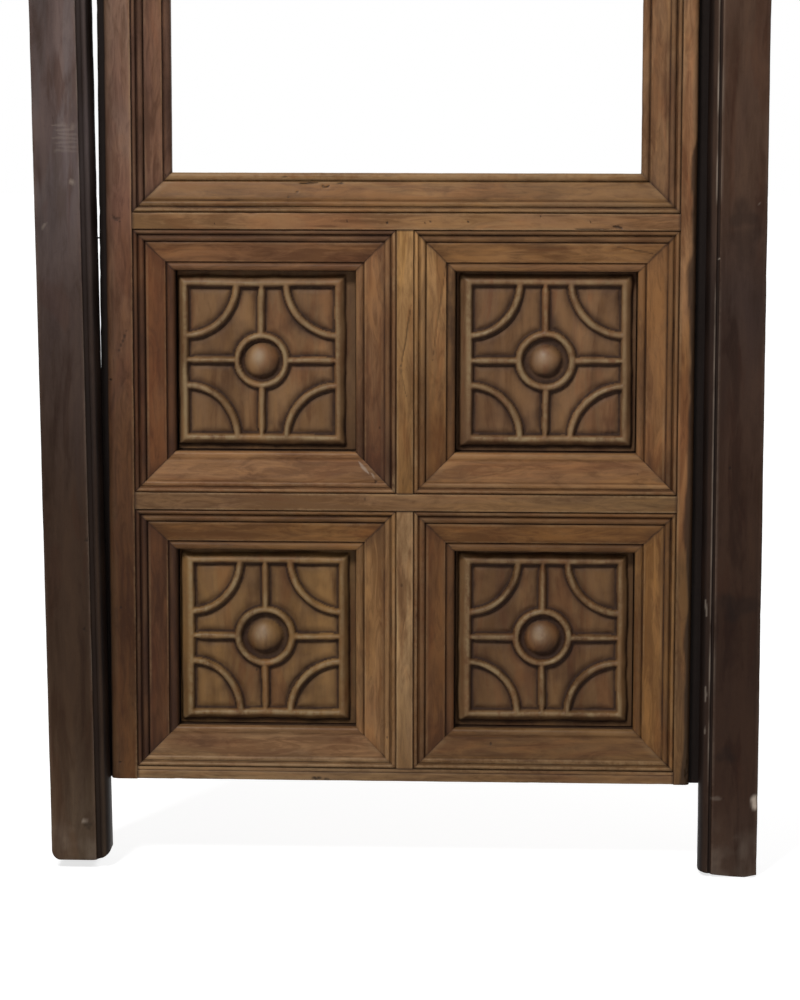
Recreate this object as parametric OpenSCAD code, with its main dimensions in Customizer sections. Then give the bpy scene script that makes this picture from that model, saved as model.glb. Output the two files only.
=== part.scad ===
// Old panelled door leaf hung in its moulded post-and-head frame.
// The leaf has four carved coffers below an open window, and swings on three butt hinges.
// Millimetres. +Z is up, the moulded front faces -Y, and the leaf swings away towards +Y.

/* [Leaf] */
// Height of the leaf
leaf_h = 2050; // [1650:10:2500]
// Thickness of the leaf
leaf_t = 60; // [50:1:80]
// Height of the bottom edge of the leaf above the floor
leaf_lift = 124; // [20:1:200]
// Width of each coffer between its fillets
coffer_w = 358.5; // [300:0.5:460]
// Height of each coffer between its fillets
coffer_h = 359; // [300:0.5:440]
// Width of the fillet between the left and right coffers
muntin_w = 23; // [16:0.5:40]
// Width of the flat face of the left stile
left_flat_w = 36.5; // [24:0.5:60]
// Width of the flat face of the right stile
right_flat_w = 21.5; // [16:0.5:60]
// Height of the fillet under the lower coffers
bottom_fillet_h = 17.5; // [12:0.5:60]
// Height of the fillet between the lower and upper coffers
cross_fillet_h = 23.5; // [16:0.5:60]
// Height of the fillet over the upper coffers
lock_fillet_h = 22.5; // [16:0.5:60]
// Height of the fillet over the window
top_fillet_h = 60; // [30:1:120]
// Radius of the worn front edges of the stiles
edge_r = 6; // [2:0.5:9]

/* [Rebated edge of the leaf] */
// Depth of the front rebate round the leaf
tongue_set = 14; // [10:0.5:19]
// Width of the tongue at the left edge
left_tongue_w = 10; // [9:0.5:20]
// Width of the tongue at the right edge
right_tongue_w = 21; // [14:0.5:26]
// Height of the tongue at the top edge
top_tongue_h = 20; // [14:0.5:30]

/* [Mouldings] */
// Width of the mouldings round the coffers
mould_w = 56; // [50:0.5:68]
// Width of the mouldings round the window
window_mould_w = 53.5; // [49.5:0.5:56]
// Width of the glazing rebate behind the mouldings round the window
window_rebate_w = 12; // [6:1:20]
// Thickness of the mouldings
mould_t = 20; // [17:0.5:24]

/* [Carved panels] */
// Thickness of the board behind each carved block
board_t = 9; // [6:0.5:12]
// Wood behind the board in the grooves
back_wall = 7; // [5:0.5:12]
// Depth of the grooves that hold the boards
groove_d = 9; // [6:0.5:12]
// Gap between the edge of a board and the bottom of its groove
board_gap = 1; // [0.5:0.5:3]
// Margin between each carved block and the opening round it
block_margin = 9.25; // [7.5:0.25:16]
// How far the margin round each carved block is set below its field
margin_set = 3; // [1:0.5:8]
// Gap between that margin and the opening round it
margin_gap = 1.5; // [0.5:0.5:4]
// Depth of the carved ridges behind the front of the leaf
crest_depth = 22; // [16:0.5:28]
// Height of the carved ridges over their field
ridge_h = 8; // [4:0.5:10]
// Width of the carved ridges at their foot
ridge_w = 8.7; // [5:0.1:14]
// Distance from the edge of a block to the middle of its border ridge
border_in = 7.5; // [5:0.5:14]
// Radius of the middle of the central ring
ring_r = 33.5; // [24:0.5:40]
// Radius of the domed boss
boss_r = 24; // [14:0.5:28]
// Height of the domed boss over the field
boss_h = 10; // [4:0.5:12]
// Radius of the middle of the corner arcs
arc_r = 72; // [40:0.5:76]

/* [Frame] */
// Width of the jambs and the head
jamb_w = 80; // [64:1:140]
// How far the frame stands in front of the leaf
frame_front = 18; // [14:0.5:40]
// Width of the rebate behind the lip of the frame
rebate_w = 10.5; // [10:0.5:20]
// Width of the rounded moulding on the lip
lip_mould_w = 17.5; // [12:0.5:30]
// Gap between the lip and the tongue of the leaf
lip_gap = 1; // [0.5:0.5:3]
// Lap of the left lip over the leaf at floor level
left_lap = 8.3; // [4:0.1:8.5]
// Lean of the left jamb away from the leaf, in degrees
left_lean = 0.75; // [0:0.05:1]
// Gap between the top of the leaf and the rebate of the head
head_gap = 4; // [2:0.5:10]
// How much shorter the left leg is than the right one
left_leg_short = 12; // [0:1:30]
// Width and height worn off the outer corner of the left foot
foot_wear_out = [9, 14]; // [4:1:30]
// Width and height worn off the inner corner of the left foot
foot_wear_in = [15, 13]; // [4:1:30]

/* [Joints of the woodwork] */
// Length of the tenons on the rails
tenon_l = 60; // [40:1:80]
// Length of the tenons on the muntins
muntin_tenon_l = 34; // [15:1:36]
// Shoulder above and below each tenon
shoulder = 12; // [6:1:20]
// Length of the tenons on the head, from the lip
head_tenon_l = 58; // [50:1:60]
// Clearance round the tenons
joint_gap = 0.25; // [0:0.05:0.5]
// Radius of the pegs in the leaf
leaf_peg_r = 4; // [3:0.5:6]
// Radius of the pegs in the frame
frame_peg_r = 5; // [3:0.5:7]

/* [Hinges] */
// Height of each hinge
hinge_h = 100; // [80:5:150]
// Distance of the outer hinges from the ends of the leaf
hinge_end = 220; // [150:5:400]
// Gap between the leaf and the hinge jamb
hinge_gap = 2.5; // [2:0.1:4]
// Thickness of the hinge plates
plate_t = 2.2; // [1.6:0.1:3]
// Depth of the hinge plates from the back of the leaf
plate_d = 34; // [28:1:44]
// Outer radius of the knuckles
knuckle_r = 6; // [5:0.1:9]
// Radius of the hinge pins
pin_r = 2.5; // [2:0.1:4]
// Running clearance between pin and knuckles
pin_clear = 0.05; // [0.02:0.01:0.1]
// Radius of the screw shanks
screw_r = 2; // [1.5:0.1:2.5]
// Radius of the screw heads
screw_head_r = 4; // [3:0.1:5]
// Length of the screws
screw_l = 24; // [16:1:30]

/* [Edge nail] */
// Height of the nail above the floor
nail_z = 870; // [300:5:1500]
// Radius of the nail
nail_r = 1; // [0.8:0.1:2]
// Length of the nail outside the leaf
nail_out = 7.5; // [3:0.5:8]
// Length of the nail inside the leaf
nail_in = 18; // [10:1:40]

/* [Hidden] */
$fn = 48;
MARGIN = 50;
COFFERS = ["ul", "ur", "ll", "lr"];
SIDES = ["left", "right", "top", "bottom"];
HINGES = [0, 1, 2];

// Heights, from the floor up
z_leaf = leaf_lift;
z_lower = z_leaf + bottom_fillet_h;
z_cross = z_lower + coffer_h;
z_upper = z_cross + cross_fillet_h;
z_lock = z_upper + coffer_h;
z_window = z_lock + lock_fillet_h;
z_leaf_top = z_leaf + leaf_h;
z_front_top = z_leaf_top - top_tongue_h;
z_window_top = z_front_top - top_fillet_h;
z_sill = z_window + window_mould_w - window_rebate_w;
z_lintel = z_window_top - window_mould_w + window_rebate_w;
z_head_lip = z_leaf_top + head_gap - rebate_w;
z_top = z_head_lip + jamb_w;

// Places across the leaf, from the middle of the muntins
x_seat = muntin_w / 2 + coffer_w;
x_inner = x_seat - mould_w;
x_window = x_seat - window_mould_w + window_rebate_w;
x_leaf_left = -x_seat - left_flat_w - left_tongue_w;
x_leaf_right = x_seat + right_flat_w + right_tongue_w;
x_lip_right = x_leaf_right + hinge_gap - rebate_w;
x_right = x_lip_right + jamb_w;

// Depths, from the front of the leaf
y_board = leaf_t - back_wall - board_t;
y_field = crest_depth + ridge_h;
y_tenon = mould_t + 4;
tenon_t = y_board - mould_t - 8;
y_lip = tongue_set - lip_gap;
y_axis = leaf_t + knuckle_r + 1;
x_axis = x_leaf_right + hinge_gap / 2;

// The middle of the whole object in plan
function lip_left(z) = x_leaf_left + left_lap - z * tan(left_lean);
function outer_left(z) = lip_left(z) - jamb_w / cos(left_lean);
mid_x = (outer_left(z_top) + x_right) / 2;
mid_y = (y_axis + knuckle_r - frame_front) / 2;

// Corners of the frame, where the jambs meet the head
corner_left_in = [lip_left(z_head_lip), z_head_lip];
corner_left_out = [outer_left(z_top), z_top];
corner_right_in = [x_lip_right, z_head_lip];
corner_right_out = [x_right, z_top];

// Head tenons and their pegs
head_tenon_y = [y_lip + 8, y_lip + 26];
head_tenon_z = [z_head_lip + 26, z_top - 18];
head_peg_in = 42;
head_peg_z = [head_tenon_z[0] + 9, head_tenon_z[1] - 9];

// Hinges
hinge_z = [
    z_leaf + hinge_end,
    z_leaf + leaf_h / 2,
    z_leaf_top - hinge_end - hinge_h / 2
];
plate_gap = 0.3;
knuckles = 5;
knuckle_gap = 0.4;
knuckle_l = hinge_h / knuckles;
plate_end = y_axis - knuckle_r - 0.8;
screw_spots = [[-0.38, 12], [-0.14, 24], [0.14, 12], [0.38, 24]];

// How far each carved block sits from the middle of its coffer, across and up
block_shift = [[-6, 0], [0, 1.5], [-4, 0.5], [-2, 2]];

// ---- places and outlines ----

function is_left(c) = c == "ul" || c == "ll";
function is_upper(c) = c == "ul" || c == "ur";
// Lower left and upper right corners of a coffer, as [x0, x1, z0, z1]
function coffer_area(c) = [
    is_left(c) ? -x_seat : muntin_w / 2,
    is_left(c) ? -muntin_w / 2 : x_seat,
    is_upper(c) ? z_upper : z_lower,
    is_upper(c) ? z_lock : z_cross
];
function window_area() = [-x_seat, x_seat, z_window, z_window_top];
function middle(a) = [(a[0] + a[1]) / 2, (a[2] + a[3]) / 2];
function shrink(a, d) = [a[0] + d, a[1] - d, a[2] + d, a[3] - d];
function arc(cx, cy, rx, ry, from, to, steps) =
    [for (i = [0 : steps]) let (t = from + (to - from) * i / steps)
        [cx + rx * cos(t), cy + ry * sin(t)]];
// A point beyond b on the line from a through b
function beyond(a, b, share) = b + (b - a) * share;

// The whole object, moved so that the middle of its foot is the origin
module place() {
    translate([-mid_x, -mid_y, 0]) children();
}

// A box from its limits across, in depth and in height
module box(x, y, z) {
    translate([x[0], y[0], z[0]]) cube([x[1] - x[0], y[1] - y[0], z[1] - z[0]]);
}

// A box over an area [x0, x1, z0, z1] between two depths
module slab(a, y) {
    box([a[0], a[1]], y, [a[2], a[3]]);
}

// An outline across and up, made solid between two depths
module upright(points, y) {
    translate([0, y[1], 0]) rotate([90, 0, 0]) linear_extrude(y[1] - y[0]) polygon(points);
}

// A round bar along the depth
module depth_bar(x, z, r, y) {
    translate([x, y[1], z]) rotate([90, 0, 0]) cylinder(r = r, h = y[1] - y[0]);
}

// ---- mouldings ----

// Section of a planted moulding: first value across from the fillet, second value in depth.
// Two beads, a shallow sloping band and an inner bead.
function mould_section(w) = concat(
    [[0, mould_t], [0, 3.5], [1.1, 3.5]],
    arc(3.7, 3.3, 2.6, 2.7, 180, 360, 6),
    [[7.3, 5.6], [8.5, 4]],
    arc(12.2, 4, 3.7, 3.5, 180, 360, 7),
    [[16.7, 6.6], [17.6, 3.7], [19.4, 3.2], [43.4, 9.5], [44.7, 12.6]],
    arc((45.4 + w) / 2, 13, (w - 45.4) / 2, 4.4, 180, 360, 8),
    [[w, mould_t]]
);

// One side of a mitred ring of mouldings round an area
module moulding(a, side, w) {
    i = shrink(a, w);
    run_x = a[1] - a[0];
    run_z = a[3] - a[2];
    trim = side == "left" ? [[a[0], a[2]], [i[0], i[2]], [i[0], i[3]], [a[0], a[3]]]
        : side == "right" ? [[a[1], a[2]], [i[1], i[2]], [i[1], i[3]], [a[1], a[3]]]
        : side == "top" ? [[a[0], a[3]], [i[0], i[3]], [i[1], i[3]], [a[1], a[3]]]
        : [[a[0], a[2]], [i[0], i[2]], [i[1], i[2]], [a[1], a[2]]];
    intersection() {
        if (side == "left")
            translate([a[0], 0, a[2]]) linear_extrude(run_z) polygon(mould_section(w));
        else if (side == "right")
            translate([a[1], 0, a[2]]) mirror([1, 0, 0])
                linear_extrude(run_z) polygon(mould_section(w));
        else if (side == "top")
            translate([a[0], 0, a[3]]) rotate([0, 90, 0])
                linear_extrude(run_x) polygon(mould_section(w));
        else
            translate([a[0], 0, a[2]]) mirror([0, 0, 1]) rotate([0, 90, 0])
                linear_extrude(run_x) polygon(mould_section(w));
        upright(trim, [-1, mould_t + 1]);
    }
}

module coffer_moulding(c, side) {
    color("sienna") place() moulding(coffer_area(c), side, mould_w);
}

module window_moulding(side) {
    color("sienna") place() moulding(window_area(), side, window_mould_w);
}

// ---- carved panels ----

// Opening inside the mouldings of a coffer
function opening(c) = shrink(coffer_area(c), mould_w);
// The board, and the space that its grooves leave it
function board_area(c) = shrink(opening(c), board_gap - groove_d);
function groove_area(c) = shrink(opening(c), -groove_d);

module ridge_section() {
    top = ridge_w * 0.62;
    polygon([[-ridge_w / 2, -1], [-ridge_w / 2, 0], [-top / 2, ridge_h],
        [top / 2, ridge_h], [ridge_w / 2, 0], [ridge_w / 2, -1]]);
}

// A straight ridge from the origin along +X
module ridge_bar(length) {
    rotate([90, 0, 90]) linear_extrude(length) ridge_section();
}

// A round ridge about the origin, through an angle that starts at +X
module ridge_arc(r, turn) {
    rotate_extrude(angle = turn, $fn = 96) translate([r, 0]) ridge_section();
}

// The relief, on a field at height 0, seen from above
module relief(side) {
    b = side / 2 - border_in;
    for (q = [0 : 3]) rotate(90 * q) {
        translate([-b - ridge_w / 2, -b, 0]) ridge_bar(2 * b + ridge_w);
        translate([-b, -b, 0]) ridge_arc(arc_r, 90);
        translate([ring_r, 0, 0]) ridge_bar(b - ring_r);
    }
    ridge_arc(ring_r, 360);
    boss_sphere_r = (boss_r * boss_r + boss_h * boss_h) / (2 * boss_h);
    intersection() {
        translate([0, 0, boss_h - boss_sphere_r]) sphere(r = boss_sphere_r, $fn = 96);
        translate([0, 0, -1]) cylinder(r = boss_r, h = boss_h + 2);
    }
}

module carved_panel(index) {
    c = COFFERS[index];
    o = opening(c);
    side = min(o[1] - o[0], o[3] - o[2]) - 2 * block_margin;
    at = middle(o) + block_shift[index];
    block = [at[0] - side / 2, at[0] + side / 2, at[1] - side / 2, at[1] + side / 2];
    color("peru") place() {
        slab(board_area(c), [y_board, y_board + board_t]);
        slab(shrink(o, margin_gap), [y_field + margin_set, y_board]);
        slab(block, [y_field, y_board]);
        translate([at[0], y_field, at[1]]) rotate([90, 0, 0]) relief(side);
    }
}

// ---- what is cut out of the members of the leaf ----

module panel_grooves() {
    for (c = COFFERS)
        slab(groove_area(c), [y_board - joint_gap, y_board + board_t + joint_gap]);
}

// Rails as [bottom of the back part, top of the back part, bottom of the fillet, top of it]
function rail_heights(name) =
    name == "bottom" ? [z_leaf, z_lower + mould_w, z_leaf, z_lower]
    : name == "cross" ? [z_cross - mould_w, z_upper + mould_w, z_cross, z_upper]
    : name == "lock" ? [z_lock - mould_w, z_sill, z_lock, z_window]
    : [z_lintel, z_leaf_top, z_window_top, z_leaf_top];
RAILS = ["bottom", "cross", "lock", "top"];

// Both tenons of a rail, grown by a clearance
module rail_tenons(name, grow) {
    h = rail_heights(name);
    box([-x_inner - tenon_l - grow, x_inner + tenon_l + grow],
        [y_tenon - grow, y_tenon + tenon_t + grow],
        [h[0] + shoulder - grow, h[1] - shoulder - (name == "top" ? top_tongue_h : 0) + grow]);
}

// Both tenons of a muntin between two rails, grown by a clearance
function muntin_heights(upper) = upper ?
    [z_upper + mould_w, z_lock - mould_w] : [z_lower + mould_w, z_cross - mould_w];
module muntin_tenons(upper, grow) {
    h = muntin_heights(upper);
    half = muntin_w / 2 + mould_w - 2 * shoulder;
    box([-half - grow, half + grow], [y_tenon - grow, y_tenon + tenon_t + grow],
        [h[0] - muntin_tenon_l - grow, h[1] + muntin_tenon_l + grow]);
}

// Pegs go in from the back and stop short of the mouldings
module leaf_peg_bars() {
    depth = [mould_t + 1, leaf_t];
    for (name = RAILS) {
        h = rail_heights(name);
        low = h[0] + shoulder;
        high = h[1] - shoulder - (name == "top" ? top_tongue_h : 0);
        for (side = [-1, 1], z = [low + 18, high - 18])
            depth_bar(side * (x_inner + tenon_l * 0.35), z, leaf_peg_r, depth);
    }
    for (upper = [false, true]) {
        h = muntin_heights(upper);
        for (z = [h[0] - muntin_tenon_l / 2, h[1] + muntin_tenon_l / 2], x = [-18, 18])
            depth_bar(x, z, leaf_peg_r, depth);
    }
}

// Front rebate over the whole top edge
module top_rebate() {
    box([x_leaf_left - 1, x_leaf_right + 1], [-1, tongue_set], [z_front_top, z_leaf_top + 1]);
}

// ---- members of the leaf ----

// Section of a stile: first value from the edge of its tongue inwards, second value in depth
module stile_section(tongue_w, flat_w) {
    seat = tongue_w + flat_w;
    difference() {
        square([seat + mould_w, leaf_t]);
        translate([-1, -1]) square([tongue_w + 1, tongue_set + 1]);
        translate([seat, -1]) square([mould_w + 1, mould_t + 1]);
        translate([tongue_w, 0]) difference() {
            translate([-1, -1]) square(edge_r + 1);
            translate([edge_r, edge_r]) circle(r = edge_r);
        }
    }
}

module stile_cuts() {
    panel_grooves();
    top_rebate();
    leaf_peg_bars();
    for (name = RAILS) rail_tenons(name, joint_gap);
    box([-x_window, x_window], [-1, leaf_t + 1], [z_sill, z_lintel]);
}

module stile_left() {
    color("saddlebrown") place() difference() {
        translate([x_leaf_left, 0, z_leaf]) linear_extrude(leaf_h)
            stile_section(left_tongue_w, left_flat_w);
        stile_cuts();
        edge_nail_bar();
    }
}

module stile_right() {
    color("saddlebrown") place() difference() {
        translate([x_leaf_right, 0, z_leaf]) mirror([1, 0, 0]) linear_extrude(leaf_h)
            stile_section(right_tongue_w, right_flat_w);
        stile_cuts();
        for (i = HINGES) {
            plate_recess(i, -1);
            screws(i, -1, 0.05);
        }
    }
}

module rail(name) {
    h = rail_heights(name);
    color("saddlebrown") place() difference() {
        union() {
            box([-x_seat, x_seat], [0, mould_t], [h[2], h[3]]);
            box([-x_inner, x_inner], [mould_t, leaf_t], [h[0], h[1]]);
            rail_tenons(name, 0);
        }
        panel_grooves();
        top_rebate();
        leaf_peg_bars();
        for (upper = [false, true]) muntin_tenons(upper, joint_gap);
    }
}

module muntin(upper) {
    h = muntin_heights(upper);
    back = muntin_w / 2 + mould_w;
    color("goldenrod") place() difference() {
        union() {
            box([-muntin_w / 2, muntin_w / 2], [0, mould_t], [h[0] - mould_w, h[1] + mould_w]);
            box([-back, back], [mould_t, leaf_t], h);
            muntin_tenons(upper, 0);
        }
        panel_grooves();
        leaf_peg_bars();
    }
}

module leaf_pegs() {
    color("burlywood") place() leaf_peg_bars();
}

module edge_nail_bar() {
    translate([x_leaf_left - nail_out, (tongue_set + leaf_t) / 3, nail_z])
        rotate([0, 90, 0]) cylinder(r = nail_r, h = nail_out + nail_in, $fn = 24);
}

module edge_nail() {
    color("dimgray") place() edge_nail_bar();
}

// ---- frame ----

// Section of the jambs and the head: first value from the lip outwards, second value in depth.
// A rounded lip, a groove, a flat face and the rebate behind the lip.
function frame_section() = concat(
    [[0, y_lip]],
    arc(lip_mould_w - 3.5, 0, lip_mould_w - 3.5, frame_front - 0.5, 180, 270, 8),
    [[lip_mould_w - 2.3, -frame_front + 0.6], [lip_mould_w - 1.2, -frame_front + 3.2],
     [lip_mould_w, -frame_front], [jamb_w - 3, -frame_front], [jamb_w, -frame_front + 3],
     [jamb_w, leaf_t], [rebate_w, leaf_t], [rebate_w, y_lip]]
);

// The head tenons, grown by a clearance
module head_tenons(grow) {
    box([corner_left_in[0] - head_tenon_l - grow, corner_left_in[0] + 20],
        head_tenon_y + [-grow, grow], head_tenon_z + [-grow, grow]);
    box([corner_right_in[0] - 20, corner_right_in[0] + head_tenon_l + grow],
        head_tenon_y + [-grow, grow], head_tenon_z + [-grow, grow]);
}

module frame_peg_bars() {
    for (x = [corner_left_in[0] - head_peg_in, corner_right_in[0] + head_peg_in], z = head_peg_z)
        depth_bar(x, z, frame_peg_r, [-frame_front + 8, leaf_t]);
}

module jamb_left() {
    foot = left_leg_short;
    trim_depth = [-frame_front - 1, leaf_t + 1];
    color("#3b2f2a") place() difference() {
        intersection() {
            translate([lip_left(0), 0, 0]) rotate([0, -left_lean, 0]) mirror([1, 0, 0])
                translate([0, 0, -MARGIN]) linear_extrude(z_top + 3 * MARGIN)
                    polygon(frame_section());
            upright([
                beyond(corner_left_out, corner_left_in, 0.5),
                beyond(corner_left_in, corner_left_out, 0.5),
                [corner_left_out[0] - MARGIN, foot],
                [corner_left_in[0] + 2 * MARGIN, foot]
            ], trim_depth);
        }
        head_tenons(joint_gap);
        frame_peg_bars();
        worn_corner(outer_left(foot), foot, -1, foot_wear_out, trim_depth);
        worn_corner(lip_left(foot), foot, 1, foot_wear_in, trim_depth);
    }
}

// What is worn off the corner of a foot at [x, z]; side is the way out of the wood
module worn_corner(x, z, side, wear, depth) {
    upright(concat(
        [[x - side * wear[0], z - 1], [x + side, z - 1], [x + side, z + wear[1]]],
        [for (t = [0 : 15 : 90])
            [x - side * wear[0] * (1 - cos(t)), z + wear[1] * (1 - sin(t))]]
    ), depth);
}

module jamb_right() {
    color("#3a2e28") place() difference() {
        intersection() {
            translate([x_lip_right, 0, 0]) linear_extrude(z_top) polygon(frame_section());
            upright([
                beyond(corner_right_out, corner_right_in, 0.5),
                [corner_right_in[0] - MARGIN, 0],
                [corner_right_out[0] + MARGIN, 0],
                beyond(corner_right_in, corner_right_out, 0.5)
            ], [-frame_front - 1, leaf_t + 1]);
        }
        head_tenons(joint_gap);
        frame_peg_bars();
        for (i = HINGES) {
            plate_recess(i, 1);
            screws(i, 1, 0.05);
        }
    }
}

module frame_head() {
    color("#3d312b") place() difference() {
        union() {
            intersection() {
                translate([corner_right_out[0] + MARGIN, 0, z_head_lip]) rotate([0, -90, 0])
                    linear_extrude(corner_right_out[0] - corner_left_out[0] + 2 * MARGIN)
                        polygon(frame_section());
                upright([
                    beyond(corner_left_in, corner_left_out, 0.5), corner_left_in,
                    corner_right_in, beyond(corner_right_in, corner_right_out, 0.5)
                ], [-frame_front - 1, leaf_t + 1]);
            }
            head_tenons(0);
        }
        frame_peg_bars();
    }
}

module frame_pegs() {
    color("burlywood") place() frame_peg_bars();
}

// ---- hinges ----

// side is -1 for the plate on the leaf and 1 for the plate on the frame
function plate_x(side) = side < 0 ?
    [x_axis - plate_gap / 2 - plate_t, x_axis - plate_gap / 2] :
    [x_axis + plate_gap / 2, x_axis + plate_gap / 2 + plate_t];
// The knuckles of the leaf are the second and the fourth
function own_knuckles(side) = side < 0 ? [1, 3] : [0, 2, 4];

module plate_recess(i, side) {
    x = plate_x(side);
    box([side < 0 ? x[0] : x[0] - 1, side < 0 ? x[1] + 1 : x[1]],
        [leaf_t - plate_d - 0.2, leaf_t + 1],
        [hinge_z[i] - 0.2, hinge_z[i] + hinge_h + 0.2]);
}

// The screws of one plate, grown by a clearance
module screws(i, side, grow) {
    face = side < 0 ? plate_x(side)[1] : plate_x(side)[0];
    for (s = screw_spots)
        translate([face + side * 0.1, leaf_t - s[1], hinge_z[i] + hinge_h * (0.5 + s[0])])
            rotate([0, side * 90, 0]) {
                cylinder(r1 = screw_head_r + grow, r2 = screw_r + grow, h = plate_t - 0.3);
                cylinder(r = screw_r + grow, h = screw_l + grow);
                translate([0, 0, -0.2 * sign(grow)])
                    cylinder(r = screw_head_r + grow, h = 0.2 * sign(grow));
            }
}

module hinge_plate(i, side) {
    x = plate_x(side);
    color("#262421") place() difference() {
        union() {
            box(x, [leaf_t - plate_d, plate_end], [hinge_z[i], hinge_z[i] + hinge_h]);
            for (k = own_knuckles(side)) {
                low = hinge_z[i] + k * knuckle_l + (k == 0 ? 0 : knuckle_gap / 2);
                high = hinge_z[i] + (k + 1) * knuckle_l
                    - (k == knuckles - 1 ? 0 : knuckle_gap / 2);
                box(x, [plate_end - 1, y_axis], [low, high]);
                translate([x_axis, y_axis, low]) cylinder(r = knuckle_r, h = high - low);
            }
        }
        translate([x_axis, y_axis, hinge_z[i] - 1])
            cylinder(r = pin_r + pin_clear, h = hinge_h + 2);
        screws(i, side, 0.05);
    }
}

module hinge_pin(i) {
    color("#1f1d1b") place() translate([x_axis, y_axis, hinge_z[i]]) {
        translate([0, 0, -1]) cylinder(r = pin_r, h = hinge_h + 2);
        for (end = [-4.3, hinge_h + 0.3]) translate([0, 0, end])
            cylinder(r = knuckle_r - 1, h = 4);
    }
}

module hinge_screws(side) {
    color("#33302c") place() for (i = HINGES) screws(i, side, 0);
}

// ---- the object ----

jamb_left();
jamb_right();
frame_head();
frame_pegs();
stile_left();
stile_right();
rail("top");  // top_rail
rail("lock");  // lock_rail
rail("cross");  // cross_rail
rail("bottom");  // bottom_rail
muntin(true);  // muntin_upper
muntin(false);  // muntin_lower
leaf_pegs();
edge_nail();
for (k = [0 : 3])
    carved_panel(k);
for (c = COFFERS, s = SIDES)
    coffer_moulding(c, s);
for (s = SIDES)
    window_moulding(s);
for (i = HINGES) {
    hinge_plate(i, 1);
    hinge_plate(i, -1);
    hinge_pin(i);
}
hinge_screws(1);  // hinge_screws_frame
hinge_screws(-1);  // hinge_screws_leaf
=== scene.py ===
# Looks of an old panelled door leaf with carved coffers, in its dark moulded frame.
# Helper numbers are in millimetres from the middle of the muntins, the leaf's front and the floor.
import math

import bpy
import numpy as np
from mathutils import Matrix, Vector


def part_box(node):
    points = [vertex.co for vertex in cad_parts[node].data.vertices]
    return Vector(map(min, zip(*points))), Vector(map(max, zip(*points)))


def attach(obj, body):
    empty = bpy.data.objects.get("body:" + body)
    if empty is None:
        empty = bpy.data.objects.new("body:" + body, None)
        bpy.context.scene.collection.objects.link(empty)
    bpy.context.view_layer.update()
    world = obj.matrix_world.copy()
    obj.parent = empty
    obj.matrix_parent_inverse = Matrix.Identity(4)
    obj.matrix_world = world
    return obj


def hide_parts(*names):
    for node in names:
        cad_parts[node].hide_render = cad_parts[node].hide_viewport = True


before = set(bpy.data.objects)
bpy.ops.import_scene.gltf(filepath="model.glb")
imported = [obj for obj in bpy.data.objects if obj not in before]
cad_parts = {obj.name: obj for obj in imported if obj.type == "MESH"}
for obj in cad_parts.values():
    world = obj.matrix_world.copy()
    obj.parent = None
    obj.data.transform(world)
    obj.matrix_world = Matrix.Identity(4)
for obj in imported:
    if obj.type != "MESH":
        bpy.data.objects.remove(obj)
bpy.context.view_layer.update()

# ---- places, taken from the frame ----


def mm(node):
    lo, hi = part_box(node)
    return np.array(lo) * 1000, np.array(hi) * 1000


MID = (mm("muntin_upper")[0][0] + mm("muntin_upper")[1][0]) / 2
FRONT = mm("stile_left")[0][1]


def door(node):
    """Corners of a node in door coordinates."""
    lo, hi = mm(node)
    return lo - [MID, FRONT, 0], hi - [MID, FRONT, 0]


STILE_LO, STILE_HI = door("stile_left")
LEAF_L, Z_LEAF, Z_TOP, LEAF_T = STILE_LO[0], STILE_LO[2], STILE_HI[2], STILE_HI[1]
LEAF_R = door("stile_right")[1][0]

UPPER_LO, UPPER_HI = door("moulding_ul_left")
LOWER_LO, LOWER_HI = door("moulding_ll_left")
WINDOW_LO, WINDOW_HI = door("moulding_window_left")
X_SEAT, MOULD_W, MOULD_T = -UPPER_LO[0], UPPER_HI[0] - UPPER_LO[0], UPPER_HI[1]
X_IN = X_SEAT - MOULD_W
Z_LOWER, Z_CROSS, Z_UPPER, Z_LOCK = LOWER_LO[2], LOWER_HI[2], UPPER_LO[2], UPPER_HI[2]
WIN_W, Z_WIN, Z_WTOP = WINDOW_HI[0] - WINDOW_LO[0], WINDOW_LO[2], WINDOW_HI[2]
REBATE_W = Z_WIN + WIN_W - door("lock_rail")[1][2]
Z_SILL, Z_LINTEL = Z_WIN + WIN_W - REBATE_W, Z_WTOP - WIN_W + REBATE_W
MUNTIN = door("moulding_ur_left")[0][0]
# the tongue round the leaf: how deep its face lies, and its width at the left, the right and the top
TONGUE, TONGUE_L, TONGUE_R, TONGUE_TOP = 14, 10, 21, 20

RIGHT_LO, RIGHT_HI = door("jamb_right")
JAMB_W = RIGHT_HI[0] - RIGHT_LO[0]
Z_HEAD = RIGHT_HI[2] - JAMB_W
FOOT_L = door("jamb_left")[0][2]
# depths of the frame's face and of the back of its lip, and the width of the lip
FACE_Y, Y_LIP, LIP_W = RIGHT_LO[1], 13, 10.5
# the left jamb leans, and its lip laps over the leaf's edge at the floor by this
LEAN, LAP = math.radians(0.75), 8.3
C, S = math.cos(LEAN), math.sin(LEAN)
LIP_L = LEAF_L + LAP

# ---- noise ----


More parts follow.
